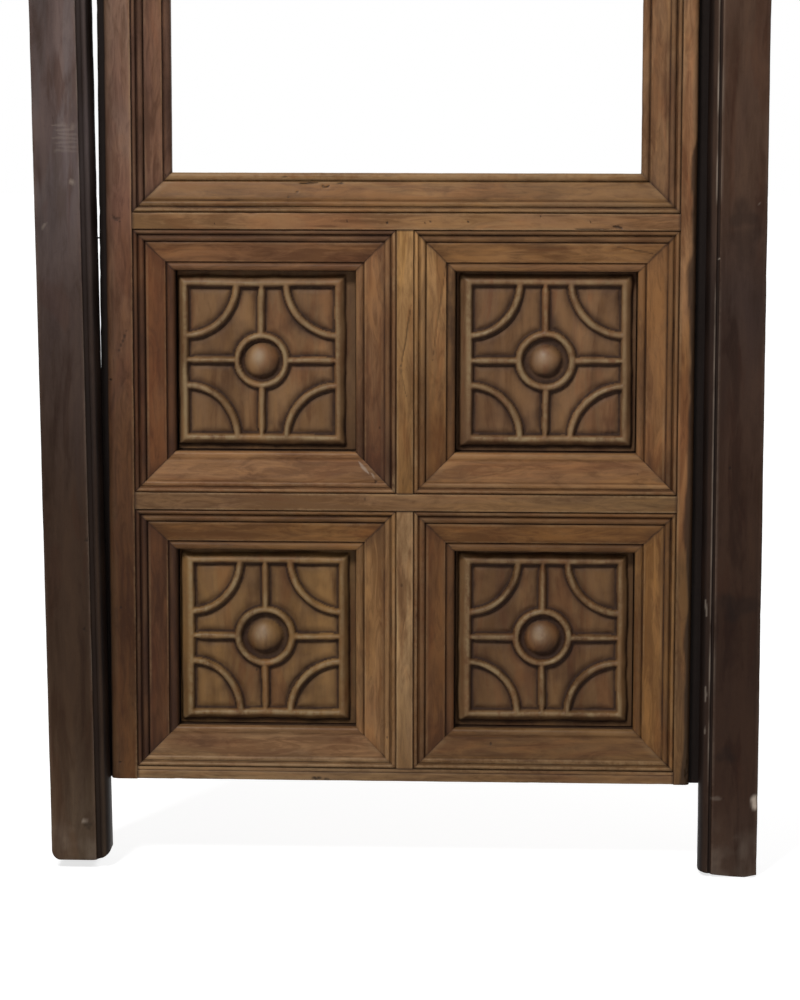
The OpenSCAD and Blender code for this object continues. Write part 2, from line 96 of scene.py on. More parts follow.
def noise(p, size, seed):
    """Smooth noise from -1 to 1 at points p, with cells of the given size."""
    q = p / size + np.array([seed * 7.31, seed * 3.77, seed * 5.13])
    i = np.floor(q).astype(np.int64)
    f = q - i
    f = f * f * (3 - 2 * f)

    def corner(dx, dy, dz):
        n = (i[..., 0] + dx) * 73856093 ^ (i[..., 1] + dy) * 19349663 ^ (i[..., 2] + dz) * 83492791
        n = (n ^ (n >> 13) ^ (seed * 7919)) & 0xFFFFFF
        n = (n * (n * n * 15731 + 789221) + 1376312589) & 0x7FFFFFFF
        return (n % 65521) / 32760 - 1

    out = 0
    for dx in (0, 1):
        for dy in (0, 1):
            for dz in (0, 1):
                w = (f[..., 0] if dx else 1 - f[..., 0]) * (f[..., 1] if dy else 1 - f[..., 1])
                out = out + w * (f[..., 2] if dz else 1 - f[..., 2]) * corner(dx, dy, dz)
    return out


def fbm(p, size, seed, steps=3):
    """Noise with finer and finer noise added to it."""
    return sum(noise(p, size / 2**k, seed + 11 * k) / 2**k for k in range(steps)) / 1.6


def unit(x):
    """x, kept from 0 to 1."""
    return np.clip(x, 0, 1)


def smooth(x, a, b):
    """From 0 at a to 1 at b."""
    t = unit((x - a) / (b - a))
    return t * t * (3 - 2 * t)


def fade(x, a, b):
    """From 1 at a to 0 at b."""
    return 1 - smooth(x, a, b)


def bell(x, middle, width):
    return np.exp(-(((x - middle) / width) ** 2))


# ---- meshes ----

# point layers: dirt with painted shade, wear with painted highlights, dark marks that also carry painted
# deep shade, and pale spots that also carry painted highlights
LAYERS = ("dirt", "wear", "mark", "pale")
SHARP = math.radians(38)


def added(name, data):
    obj = bpy.data.objects.new(name, data)
    bpy.context.scene.collection.objects.link(obj)
    return obj


def make(name, verts, quads, ngons, data, body, mat, slot, nodes):
    """One piece from points in door coordinates, which rides on a body and stands for nodes."""
    a, b, c, d = (verts[quads[:, k]] for k in range(4))
    if np.einsum("ij,ij->i", (a + b + c + d) / 4, np.cross(c - a, d - b)).sum() < 0:
        quads = quads[:, ::-1]
        ngons = [list(reversed(g)) for g in ngons]
    co = (verts + [MID, FRONT, 0]) / 1000
    mesh = bpy.data.meshes.new(name)
    mesh.from_pydata(co.tolist(), [], quads.tolist() + [list(map(int, g)) for g in ngons])
    mesh.validate()
    for key in LAYERS:
        layer = mesh.attributes.new(key, "FLOAT", "POINT")
        layer.data.foreach_set("value", unit(data[key]).astype(np.float32).ravel())
    mesh.shade_smooth()
    mesh.set_sharp_from_angle(angle=SHARP)
    mesh.materials.append(mat)
    obj = added(name, mesh)
    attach(obj, body)
    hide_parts(*nodes)


def join(parts):
    """Several (verts, quads, ngons, data) as one."""
    verts, quads, ngons, data, n = [], [], [], {}, 0
    for v, q, g, _ in parts:
        verts.append(v)
        quads.append(q + n)
        ngons += [[i + n for i in face] for face in g]
        n += len(v)
    for key in LAYERS:
        data[key] = np.concatenate([p[3][key] for p in parts])
    return np.concatenate(verts), np.concatenate(quads), ngons, data


def rounded(points, radii, steps=5):
    """A closed outline with its corners rounded."""
    out, n = [], len(points)
    for i, p in enumerate(points):
        p, a, b = (np.array(points[j % n], float) for j in (i, i - 1, i + 1))
        la, lb = np.linalg.norm(a - p), np.linalg.norm(b - p)
        r = min(radii[i], la * 0.48, lb * 0.48)
        if r < 0.05:
            out.append(tuple(p))
            continue
        s, e = p + (a - p) / la * r, p + (b - p) / lb * r
        for t in np.linspace(0, 1, steps + 1):
            out.append(tuple((1 - t) ** 2 * s + 2 * t * (1 - t) * p + t * t * e))
    return out


def finer(points, step, deep=16, coarse=10):
    """The outline with points a step apart, and coarser ones where it lies deep."""
    out, n = [], len(points)
    for i in range(n):
        a, b = np.array(points[i], float), np.array(points[(i + 1) % n], float)
        size = coarse if (a[1] + b[1]) / 2 > deep else step
        k = max(1, int(math.ceil(np.linalg.norm(b - a) / size)))
        out += [a + (b - a) * j / k for j in range(k)]
    return np.array(out)


def arc(cx, cy, rx, ry, a, b, n):
    turns = [math.radians(a + (b - a) * i / n) for i in range(n + 1)]
    return [(cx + rx * math.cos(turn), cy + ry * math.sin(turn)) for turn in turns]


def upright(u, v, t):
    return u, v, t


LINES = ("crack", "scratch")
# spacing of the rings over a mark, how far they go on past it, and how far a dent or hole spreads
MARK_STEP, MARK_MARGIN, MARK_SPREAD = 1.4, 2, 1.3
# least spacing of rings, distance of the last ring but one from an end, and half the width of a cut
RING_GAP, END_RING, CUT = 0.7, 0.5, 0.05
SPARSE_ABOVE = 1250


def marked(x, z, front, marks):
    """Depth, darkness and paleness that the listed marks add at points across the front."""
    depth, dark, pale = (np.zeros_like(x) for _ in range(3))
    for kind, px, pz, *rest in marks:
        if kind in LINES:
            qx, qz, width, deep, tone = rest
            ax, az = qx - px, qz - pz
            steep = abs(az) > abs(ax)
            t = unit(((x - px) * ax + (z - pz) * az) / (ax * ax + az * az))
            bend = (0.6 * np.sin(t * 4 + px) + 0.2 * np.sin(t * 15 + pz)) * min(width, 1)
            d = np.hypot(x - px - ax * t + bend * steep, z - pz - az * t + bend * (not steep))
            w = width * (0.25 + 0.75 * np.sin(np.pi * np.clip(t, 0.04, 0.96)))
            m = fade(d, w * 0.3, w * 1.15)
        else:
            rx, rz, deep, tone = rest
            d = np.hypot((x - px) / rx, (z - pz) / rz)
            d = d + (0.08 if kind == "pale" else 0.22) * np.sin(3 * np.arctan2(z - pz, x - px) + px)
            m = fade(d, 0.45, 1.05)
        depth += deep * m
        layer = pale if kind in ("scratch", "pale") else dark
        np.maximum(layer, tone * m, out=layer)
    return depth * front, dark * front, pale * front


def ring_places(lo, hi, step, marks, along, cuts):
    """Places of a bar's rings from 0 to 1: even ones, close ones over the marks, and a pair at each cut."""
    span = hi - lo
    line = np.linspace(0, 1, max(2, int(span / step)) + 1)
    # the members are plain high up, where every second ring is enough
    line = set(line[(lo + line * span < SPARSE_ABOVE) | (np.arange(len(line)) % 2 == 0)])
    first = 2 if along == 2 else 1
    for mark in marks:
        a, b = mark[first], mark[first + 2]
        a, b = sorted((a, b)) if mark[0] in LINES else (a - b * MARK_SPREAD, a + b * MARK_SPREAD)
        cells = range(int((a - MARK_MARGIN) / MARK_STEP), int((b + MARK_MARGIN) / MARK_STEP) + 1)
        line |= {(MARK_STEP * c - lo) / span for c in cells}
    line = np.array(sorted(c for c in line if 0 <= c <= 1))
    line = line[np.concatenate([[True], np.diff(line) > RING_GAP / span])]
    line = set(line[line < 1 - RING_GAP / span]) | {END_RING / span, 1 - END_RING / span, 0, 1}
    for cut in cuts:
        line |= {(cut - CUT - lo) / span, (cut + CUT - lo) / span}
    return np.array(sorted(line))


def bar(loop, start, end, place, seed, step, wave, rough, nick, marks={}, shape=None, cuts=(), end_dirt=0,
        dirt=0, reach=2.6, edge_wear=1, along=2, grime=0.6, paint=None):
    """A closed outline (u across, v in depth) swept from start to end, with worn arrises.

    start and end are numbers or functions of u, and place puts (u, v, along) into door coordinates.
    wave, rough and nick are how far the surface strays, reach is the width of an arris or a crease.
    marks has cracks and scratches as (x, z, end x, end z, width, depth, tone), and dents and pale spots
    as (x, z, radius x, radius z, depth, tone).
    """
    marks = [(kind, *mark) for kind, of_kind in marks.items() for mark in of_kind]
    p = np.array(loop, float)
    area = 0.5 * np.sum(p[:, 0] * np.roll(p[:, 1], -1) - np.roll(p[:, 0], -1) * p[:, 1])
    tangent = np.roll(p, -1, 0) - np.roll(p, 1, 0)
    normal = np.stack([tangent[:, 1], -tangent[:, 0]], -1) * (1 if area > 0 else -1)
    normal /= np.maximum(np.linalg.norm(normal, axis=1, keepdims=True), 1e-9)
    s = np.concatenate([[0], np.cumsum(np.linalg.norm(np.roll(p, -1, 0) - p, axis=1))])
    total, s = s[-1], s[:-1]
    s3 = np.concatenate([s - total, s, s + total])
    p3 = np.concatenate([p, p, p])

    def walk(d):
        return np.stack([np.interp(s + d, s3, p3[:, k]) for k in (0, 1)], -1)

    def bowed(d):
        """Above 0 where the outline is hollow, below 0 where it is round."""
        return np.einsum("ij,ij->i", (walk(d) + walk(-d)) / 2 - p, normal) / d

    hollow, wide = bowed(reach), bowed(3 * reach)
    u = p[:, 0]
    t0 = start(u) if callable(start) else np.full_like(u, start)
    t1 = end(u) if callable(end) else np.full_like(u, end)
    line = ring_places(t0.mean(), t1.mean(), step, marks, along, cuts)
    rings, count = len(line), len(p)
    U, V = np.tile(p[:, 0], (rings, 1)), np.tile(p[:, 1], (rings, 1))
    T = t0[None] + (t1 - t0)[None] * line[:, None]
    if shape:
        U, V, T = shape(U, V, T)
    q = np.stack(place(U, V, T), -1)
    near_end = np.minimum(T - T[0][None], T[-1][None] - T)
    convex = unit(-hollow[None] * 3.2)
    d = wave * fbm(q, 70, seed) + rough * fbm(q, 12, seed + 3, 2)
    bite = unit(noise(q, 17, seed + 5) - 0.25) ** 1.5
    d -= nick * convex * (0.35 + 2.6 * bite)
    front = (normal[:, 1] < -0.35)[None] * np.ones((rings, 1))
    deep, dark, pale = marked(q[..., 0], q[..., 2], front, marks)
    d -= deep
    d *= np.clip(near_end / 1.5, 0.25, 1)
    U = U + d * normal[None, :, 0]
    V = V + d * normal[None, :, 1]
    q = np.stack(place(U, V, T), -1)
    # darker in the creases and hollows: settled grime together with painted shade
    crease = unit(hollow[None] * 2.6 + 0.9 * unit(wide)[None])
    data = {
        "dirt": grime * crease * (0.7 + 0.4 * noise(q, 45, seed + 9)) + dirt
        + end_dirt * fade(near_end, 0.4, 2.2),
        "wear": edge_wear * convex * (0.75 + 0.5 * noise(q, 35, seed + 7)),
        "mark": dark,
        "pale": pale,
    }
    if paint:
        paint(U, V, T, data)
    idx = np.arange(rings * count).reshape(rings, count)
    a, b = idx[:-1], idx[1:]
    quads = np.stack([a, np.roll(a, -1, 1), np.roll(b, -1, 1), b], -1).reshape(-1, 4)
    ngons = [list(idx[0][::-1]), list(idx[-1])]
    data = {key: np.array(np.broadcast_to(x, (rings, count))).ravel() for key, x in data.items()}
    return q.reshape(-1, 3), quads, ngons, data


# ---- materials ----

# 8-bit colours of settled dirt and painted shade, of age-black and painted deep shade, and of bare wood and
# painted highlights
DIRT_AND_SHADE, AGE_BLACK_AND_SHADE, BARE_AND_HIGHLIGHT = (37, 23, 17), (19, 12, 9), (158, 144, 130)
# tints that wood takes on in patches
YELLOWISH, REDDISH, COOLISH = (1, 0.92, 0.68, 1), (0.95, 0.78, 0.7, 1), (0.74, 0.72, 0.82, 1)
STAINED, SPECKLED = (0.6, 0.5, 0.44, 1), (0.72, 0.68, 0.66, 1)
# how far the noise is drawn out along the grain, for fine streaks and for flames
STREAK, FLAME = 0.05, 0.2


def lin(c, k=1, veil=0):
    """Linear colour from an 8-bit one, scaled, less the grey that the gloss adds."""
    out = []
    for x in c:
        x = x / 255
        x = x / 12.92 if x <= 0.04045 else ((x + 0.055) / 1.055) ** 2.4
        out.append(min(max(k * (x - veil), 0.0015), 1))
    return (*out, 1)


class Tree:
    """The nodes of a material or a world, built by short calls."""

    def __init__(self, owner):
        owner.use_nodes = True
        self.nt = owner.node_tree
        self.nt.nodes.clear()

    def put(self, socket, value):
        if isinstance(value, bpy.types.NodeSocket):
            self.nt.links.new(value, socket)
        else:
            socket.default_value = value

    def node(self, kind, out=0, props=(), **inputs):
        """Output number out of a new node, with inputs by name or, as i0, i1 and so on, by number."""
        n = self.nt.nodes.new("ShaderNode" + kind)
        for k, v in dict(props).items():
            setattr(n, k, v)
        for k, v in inputs.items():
            key = int(k[1:]) if k[0] == "i" and k[1:].isdigit() else k.replace("_", " ")
            self.put(n.inputs[key], v)
        return n.outputs[out]

    def output(self, kind, shader):
        self.nt.links.new(shader, self.nt.nodes.new("ShaderNodeOutput" + kind).inputs[0])

    def math(self, op, a, b, clamp=False):
        return self.node("Math", props={"operation": op, "use_clamp": clamp}, i0=a, i1=b)

    def mul(self, a, b):
        return self.math("MULTIPLY", a, b)

    def add(self, total, *more, clamp=False):
        for k, term in enumerate(more, 1):
            total = self.math("ADD", total, term, clamp and k == len(more))
        return total

    def swing(self, noise, k):
        """A noise about its middle, times k."""
        return self.mul(self.math("SUBTRACT", noise, 0.5), k)

    def ramp(self, x, a, b, low=0, high=1):
        props = {"interpolation_type": "SMOOTHSTEP"}
        return self.node("MapRange", props=props, Value=x, From_Min=a, From_Max=b, To_Min=low, To_Max=high)

    def colours(self, x, stops):
        """Colours through (place, colour) stops, at x."""
        n = self.nt.nodes.new("ShaderNodeValToRGB")
        e = n.color_ramp.elements
        for k in (0, -1):
            e[k].position, e[k].color = stops[k]
        for at, colour in stops[1:-1]:
            e.new(at).color = colour
        self.put(n.inputs[0], x)
        return n.outputs[0]

    def mix(self, f, a, b, mode="MIX"):
        return self.node("Mix", out=2, props={"data_type": "RGBA", "blend_type": mode}, i0=f, i6=a, i7=b)

    def noise(self, vec, scale, detail=3, rough=0.55, bend=0):
        return self.node("TexNoise", Vector=vec, Scale=scale, Detail=detail, Roughness=rough,
                         Distortion=bend)

    def coords(self, scale, shift):
        return self.node("Mapping", Vector=self.node("TexCoord", out=3), Scale=scale, Location=shift)

    def attr(self, name):
        return self.node("Attribute", out=2, props={"attribute_name": name})

    def creases(self, samples, reach):
        """Above 0 where other surfaces are near."""
        ao = self.node("AmbientOcclusion", out=1, props={"samples": samples}, Distance=reach)
        return self.math("SUBTRACT", 1, ao, True)


def wood(name, tones, grain, seed, dark=0.68, light=1.26, streak=0.8, red=0.45, cool=0.45, gold=0.3,
         stain=0.7, rough=0.46, gloss=0.12, wear=(140, 114, 82), wear_k=0.5, bump=1, fleck=0.75):
    """Old waxed softwood with soft flames and streaks along the grain, stains and rubbed arrises.

    tones is one 8-bit colour or (metres along the grain, colour) stops.
    """
    mat = bpy.data.materials.new("wood_" + name)
    t = Tree(mat)
    shift = (seed * 1.37, seed * 0.71, seed * 2.13)

    def drawn(k):
        return t.coords({"x": (k, 1, 1), "z": (1, 1, k)}[grain], shift)

    fine, mid, flat = drawn(STREAK), drawn(FLAME), drawn(1)
    flame = t.noise(mid, 14, 3, 0.5, 1.2)
    flecks = t.noise(mid, 80, 3, 0.62, 1.6)
    bands = t.noise(fine, 60, 4, 0.6, 0.5)
    lines = t.noise(fine, 330, 3, 0.6)
    patch = t.noise(mid, 26, 4, 0.6, 0.6)
    hue = t.noise(mid, 22, 3, 0.6, 1)
    small = t.noise(flat, 130, 3, 0.6)

    # the piece's own tones along it, made lighter and darker by the grain
    if isinstance(tones, tuple):
        tones = [(0, tones), (1, tones)]
    along = t.node("SeparateXYZ", out=0 if grain == "x" else 2, Vector=t.node("TexCoord", out=3))
    a, b = tones[0][0], tones[-1][0]
    along = t.node("MapRange", Value=t.add(along, t.swing(patch, 0.16)), From_Min=a, From_Max=b)
    col = t.colours(along, [((at - a) / (b - a), lin(tone, light, 0.05 * gloss)) for at, tone in tones])
    value = t.add(t.swing(flame, 2.6), t.swing(bands, 1.9 * streak), t.swing(flecks, 3 * fleck),
                  t.swing(lines, 0.7 * streak), 0.5, clamp=True)
    darkest = (dark * 1.03 / light, dark * 0.97 / light, dark * 0.9 / light, 1)
    middle = (1 / light, 1 / light, 1 / light, 1)
    shade = t.colours(value, [(0.08, darkest), (0.5, middle), (0.92, (1, 1, 0.97, 1))])
    col = t.mix(1, col, shade, "MULTIPLY")
    for noise_of, off, full, amount, tint in (
        (hue, 0.5, 0.62, gold, YELLOWISH),
        (hue, 0.49, 0.38, red, REDDISH),
        (patch, 0.52, 0.64, cool, COOLISH),
        (patch, 0.47, 0.35, stain, STAINED),
        (small, 0.54, 0.76, 0.3, SPECKLED),
    ):
        col = t.mix(t.mul(t.ramp(noise_of, off, full), amount), col, tint, "MULTIPLY")

    # rubbed arrises and painted highlights, dirt and painted shade in the hollows, small pits, and the
    # listed marks and painted deep shade
    worn = t.mul(t.attr("wear"), t.ramp(t.add(t.mul(small, 0.4), t.mul(bands, 0.6)), 0.36, 0.6))
    col = t.mix(t.mul(worn, wear_k), col, lin(wear))
    pits = t.node("TexVoronoi", Vector=t.coords((1, 1, 0.7), shift), Scale=22, Randomness=1)
    pit = t.mul(t.ramp(pits, 0.05, 0.025), t.ramp(t.noise(flat, 9, 2), 0.52, 0.6))
    # painted shade where other surfaces are near, added to the dirt
    deep = t.math("POWER", t.creases(6, 0.012), 1.8)
    darkening = t.add(t.attr("dirt"), t.mul(deep, 0.55), clamp=True)
    darkening = t.mul(darkening, t.add(t.mul(small, 0.5), 0.72))
    col = t.mix(t.mul(darkening, 0.9), col, lin(DIRT_AND_SHADE))
    col = t.mix(t.math("MAXIMUM", t.attr("mark"), t.mul(pit, 0.6)), col, lin(AGE_BLACK_AND_SHADE))
    col = t.mix(t.attr("pale"), col, lin(BARE_AND_HIGHLIGHT))

    dull = t.add(t.swing(bands, 0.25), rough, t.swing(patch, 0.2), t.mul(darkening, 0.25), t.mul(worn, -0.06),
                 clamp=True)
    height = t.add(t.mul(lines, 0.35), t.mul(bands, 0.5), t.mul(small, 0.6), t.mul(pit, -0.9))
    normal = t.node("Bump", Height=height, Strength=0.5 * bump, Distance=0.0007)
    t.output("Material", t.node("BsdfPrincipled", Base_Color=col, Roughness=dull, Specular_IOR_Level=gloss,
                                Normal=normal))
    return mat


def iron(name, tint, rust, seed, metallic=0.75):
    """Dull iron or steel with rust, and its creases darkened by soiling and painted shade."""
    mat = bpy.data.materials.new(name)
    t = Tree(mat)
    flat = t.coords((1, 1, 1), (seed, seed * 2, seed * 3))
    broad, fine = t.noise(flat, 60, 4), t.noise(flat, 420, 3)
    col = t.mix(t.ramp(broad, 0.4, 0.7), lin(tint), lin(np.array(tint) * 1.5))
    col = t.mix(t.mul(t.ramp(fine, 0.52, 0.7), 0.55), col, lin(rust))
    # painted shade and soiling where other surfaces are near
    col = t.mix(t.creases(4, 0.004), col, lin((18, 14, 12)))
    normal = t.node("Bump", Height=t.add(broad, fine), Strength=0.4, Distance=0.0003)
    t.output("Material", t.node("BsdfPrincipled", Base_Color=col, Metallic=metallic, Normal=normal,
                                Roughness=t.add(t.mul(fine, 0.35), 0.38)))
    return mat


def deepen(data, layer, value):
    data[layer] = np.maximum(data[layer], value)


# ---- mouldings ----

# How each side of a surround has aged and is shaded: depth left in the three quirks (between the beads,
# beside the band, inside the band), grime with painted shade in them, and painted shade on the outer, the
# second and the inner bead, strongest on sides turned from a light at the upper left; below 0 it is a
# painted highlight
TOP, LEFT, RIGHT = (0.75, 0.6, 0.7), (0.7, 0.7, 0.8), (0.7, 0.3, 0.7)
SHADE_AND_AGE = {
    "left": ((0.8, 0.8, 0.8), 0.75, (0.55, 0.62, 0.6)),
    "top": (TOP, 0.6, (0.3, 0.4, 0.3)),
    "right": (RIGHT, 0.6, (0.25, 0.5, 0.2)),
    "bottom": ((0.4, 0, 0), 0.4, (0.1, 0, 0)),
    "window_top": (TOP, 0.7, (0.5, 0.55, 0.3)),
    "window_bottom": ((0.5, 0.2, 0.95), 0.6, (0.05, 0.1, -0.9)),
    "ul_top": (TOP, 0.65, (0.4, 0.5, 0.3)),
    "ur_top": (TOP, 0.6, (0.35, 0.45, 0.3)),
    "ur_left": (LEFT, 0.5, (0, 0.3, 0.6)),
    "lr_left": (LEFT, 0.5, (-0.1, 0.2, 0.6)),
    "ul_right": (RIGHT, 0.55, (0, 0.3, 0.2)),
    "ll_right": ((0.6, 0.2, 0.7), 0.5, (-0.2, 0.1, 0.2)),
    "ll_bottom": ((0.3, 0, 0), 0.35, (-0.6, -0.3, 0)),
    "lr_bottom": ((0.3, 0, 0), 0.35, (-0.6, -0.3, 0)),
}
MITRE_GAP = 0.02


def mould_section(w, keep):
    """Two beads, the sloping band and the inner bead, with worn and filled quirks between them."""
    pts = (
        [(0, MOULD_T), (0, 3.5), (1.1, 3.5)]
        + arc(3.7, 3.3, 2.6, 2.7, 180, 360, 8)
        + [(7.3, 5.6), (8.5, 4)]
        + arc(12.2, 4, 3.7, 3.5, 180, 360, 9)
        + [(16.7, 6.6), (17.6, 3.7), (19.4, 3.2), (w - 12.6, 9.5), (w - 11.3, 12.6)]
        + arc(w - 5.3, 13, 5.3, 4.4, 180, 360, 10)
        + [(w, MOULD_T)]
    )
    # each quirk from a to b, and its depth when full and when empty
    quirks = ((5.2, 10.6, 2, 3.6), (14.2, 18, 3, 3.6), (w - 12.5, w - 8.5, 10, 3))
    for (a, b, full, more), kept in zip(quirks, keep):
        low = full + more * kept
        pts = [(u, min(v, low)) if a < u < b else (u, v) for u, v in pts]
    return pts


def moulding(key, mat, seed, marks, step, fine):
    """One mitred side of a surround, its outline starting at the surround's outer edge."""
    node, side = "moulding_" + key, key.split("_")[1]
    across, along = (0, 2) if side in ("left", "right") else (2, 0)
    lo, hi = door(node)
    w, a, b = hi[across] - lo[across], lo[along], hi[along]
    outer, inward = (hi[across], -1) if side in ("right", "top") else (lo[across], 1)
    keep, grime, bead_shades = SHADE_AND_AGE.get(key, SHADE_AND_AGE[side])

    def place(u, v, t):
        x = outer + inward * u
        return (x, v, t) if along == 2 else (t, v, x)

    def paint(u, v, t, data):
        def at(k_across, k_along):
            return np.stack([u * k_across, v, t * k_along], -1)

        q = at(6, 1)
        second = smooth(u, 7.6, 8.8) * fade(u, 16.5, 18.5)
        inner = smooth(u, w - 13, w - 11)
        # painted shade on the beads, by side, and grime with painted shade in the quirk beside the band
        film = bead_shades[0] * fade(u, 6.8, 7.6) + bead_shades[1] * second + bead_shades[2] * inner
        film = film * (1 + 0.5 * noise(q, 50, seed + 2))
        film = film + 0.4 * grime * keep[1] * bell(u, 17.2, 1.5)
        # soft blotches on the band, darker at its low side, and painted shade towards the mitres but for the
        # bottom side
        band = smooth(u, 16.5, 19) * fade(u, w - 13.5, w - 12)
        end = np.minimum(t - a - u, b - u - t)
        blotch = np.clip(1.3 * fbm(at(2.2, 0.7), 46, seed + 6), -0.3, 1)
        low = 0.25 * fade(u, 18, 30) * (0.6 + noise(at(5, 0.5), 30, seed + 8))
        mitre_shade = 0 if side == "bottom" else 0.3
        film = film + band * (0.34 * blotch + low + mitre_shade * fade(end, 0, 26))
        data["dirt"] = data["dirt"] * (0.75 + 0.5 * noise(q, 30, seed + 4)) + np.maximum(film, 0)
        # where the painted shade is below 0 it becomes a painted highlight
        data["wear"] = data["wear"] * (1 - unit(film)) + unit(-film)
        if side == "bottom":
            deepen(data, "wear", 0.5 * band * fade(end, 0, 16))

    part = bar(finer(mould_section(w, keep), fine), lambda u: a + u + MITRE_GAP, lambda u: b - u - MITRE_GAP,
               place, seed, step, 0.25, 0.14, 0.3, marks, end_dirt=0.9 * grime, reach=1.6, edge_wear=0.9,
               along=along, grime=grime + 0.12, paint=paint)
    make("trim_" + key, *part, "leaf", mat, "moulding_wood", [node])


# ---- carved blocks ----

# the board reaches this far under the mouldings, and then come the gap round the block, its margin, and
# the border's half width with the slope outside it
BOARD_LAP, BLOCK_GAP, MARGIN, SLOPE = 8, 1.5, 9.25, 7.5
FIELD_DEPTH, BOARD_T, BOARD_EDGE = 8, 9, 7.4
ARC_R, BOSS_H = 72, 13
# height and half width of the border, the cross, the corner arcs and the ring
BORDER, CROSS, ARCS, RING = (8.2, 5), (7.6, 5.2), (8, 5.3), (8.8, 5.4)
GRID, QUICK_GRID, TUNED_GRID = 164, 96, 174
FAR, NONE = 99, -9


def blur(a, times):
    a = np.pad(a, times, "edge")
    for _ in range(times):
        a = (a + np.roll(a, 1, 0) + np.roll(a, -1, 0) + np.roll(a, 1, 1) + np.roll(a, -1, 1)) / 5
    return a[times:-times, times:-times]


def corner_arcs(x, z, line):
    """Distance from the nearest of four arcs about the border's corners."""
    out = np.full_like(x, FAR)
    for sx, sz in ((-1, -1), (-1, 1), (1, -1), (1, 1)):
        away = np.abs(np.hypot(x - sx * line, z - sz * line) - ARC_R)
        corner = (sx * x < line) & (sz * z < line) & (sx * x > 0) & (sz * z > 0)
        out = np.minimum(out, np.where(corner, away, FAR))
    return out


def sheltered(h, cell):
    """How far each point lies below higher ones above it and at its left, for a painted shadow from a light
    at the upper left.
    """
    lee = np.full_like(h, NONE)
    for k in range(1, 8):
        i, j = round(0.8 * k * 1.2 / cell), round(0.6 * k * 1.2 / cell)
        moved = np.pad(h, ((0, i), (j, 0)), "edge")[i:, : h.shape[1]]
        lee = np.maximum(lee, moved - h - 1.15 * k)
    return lee


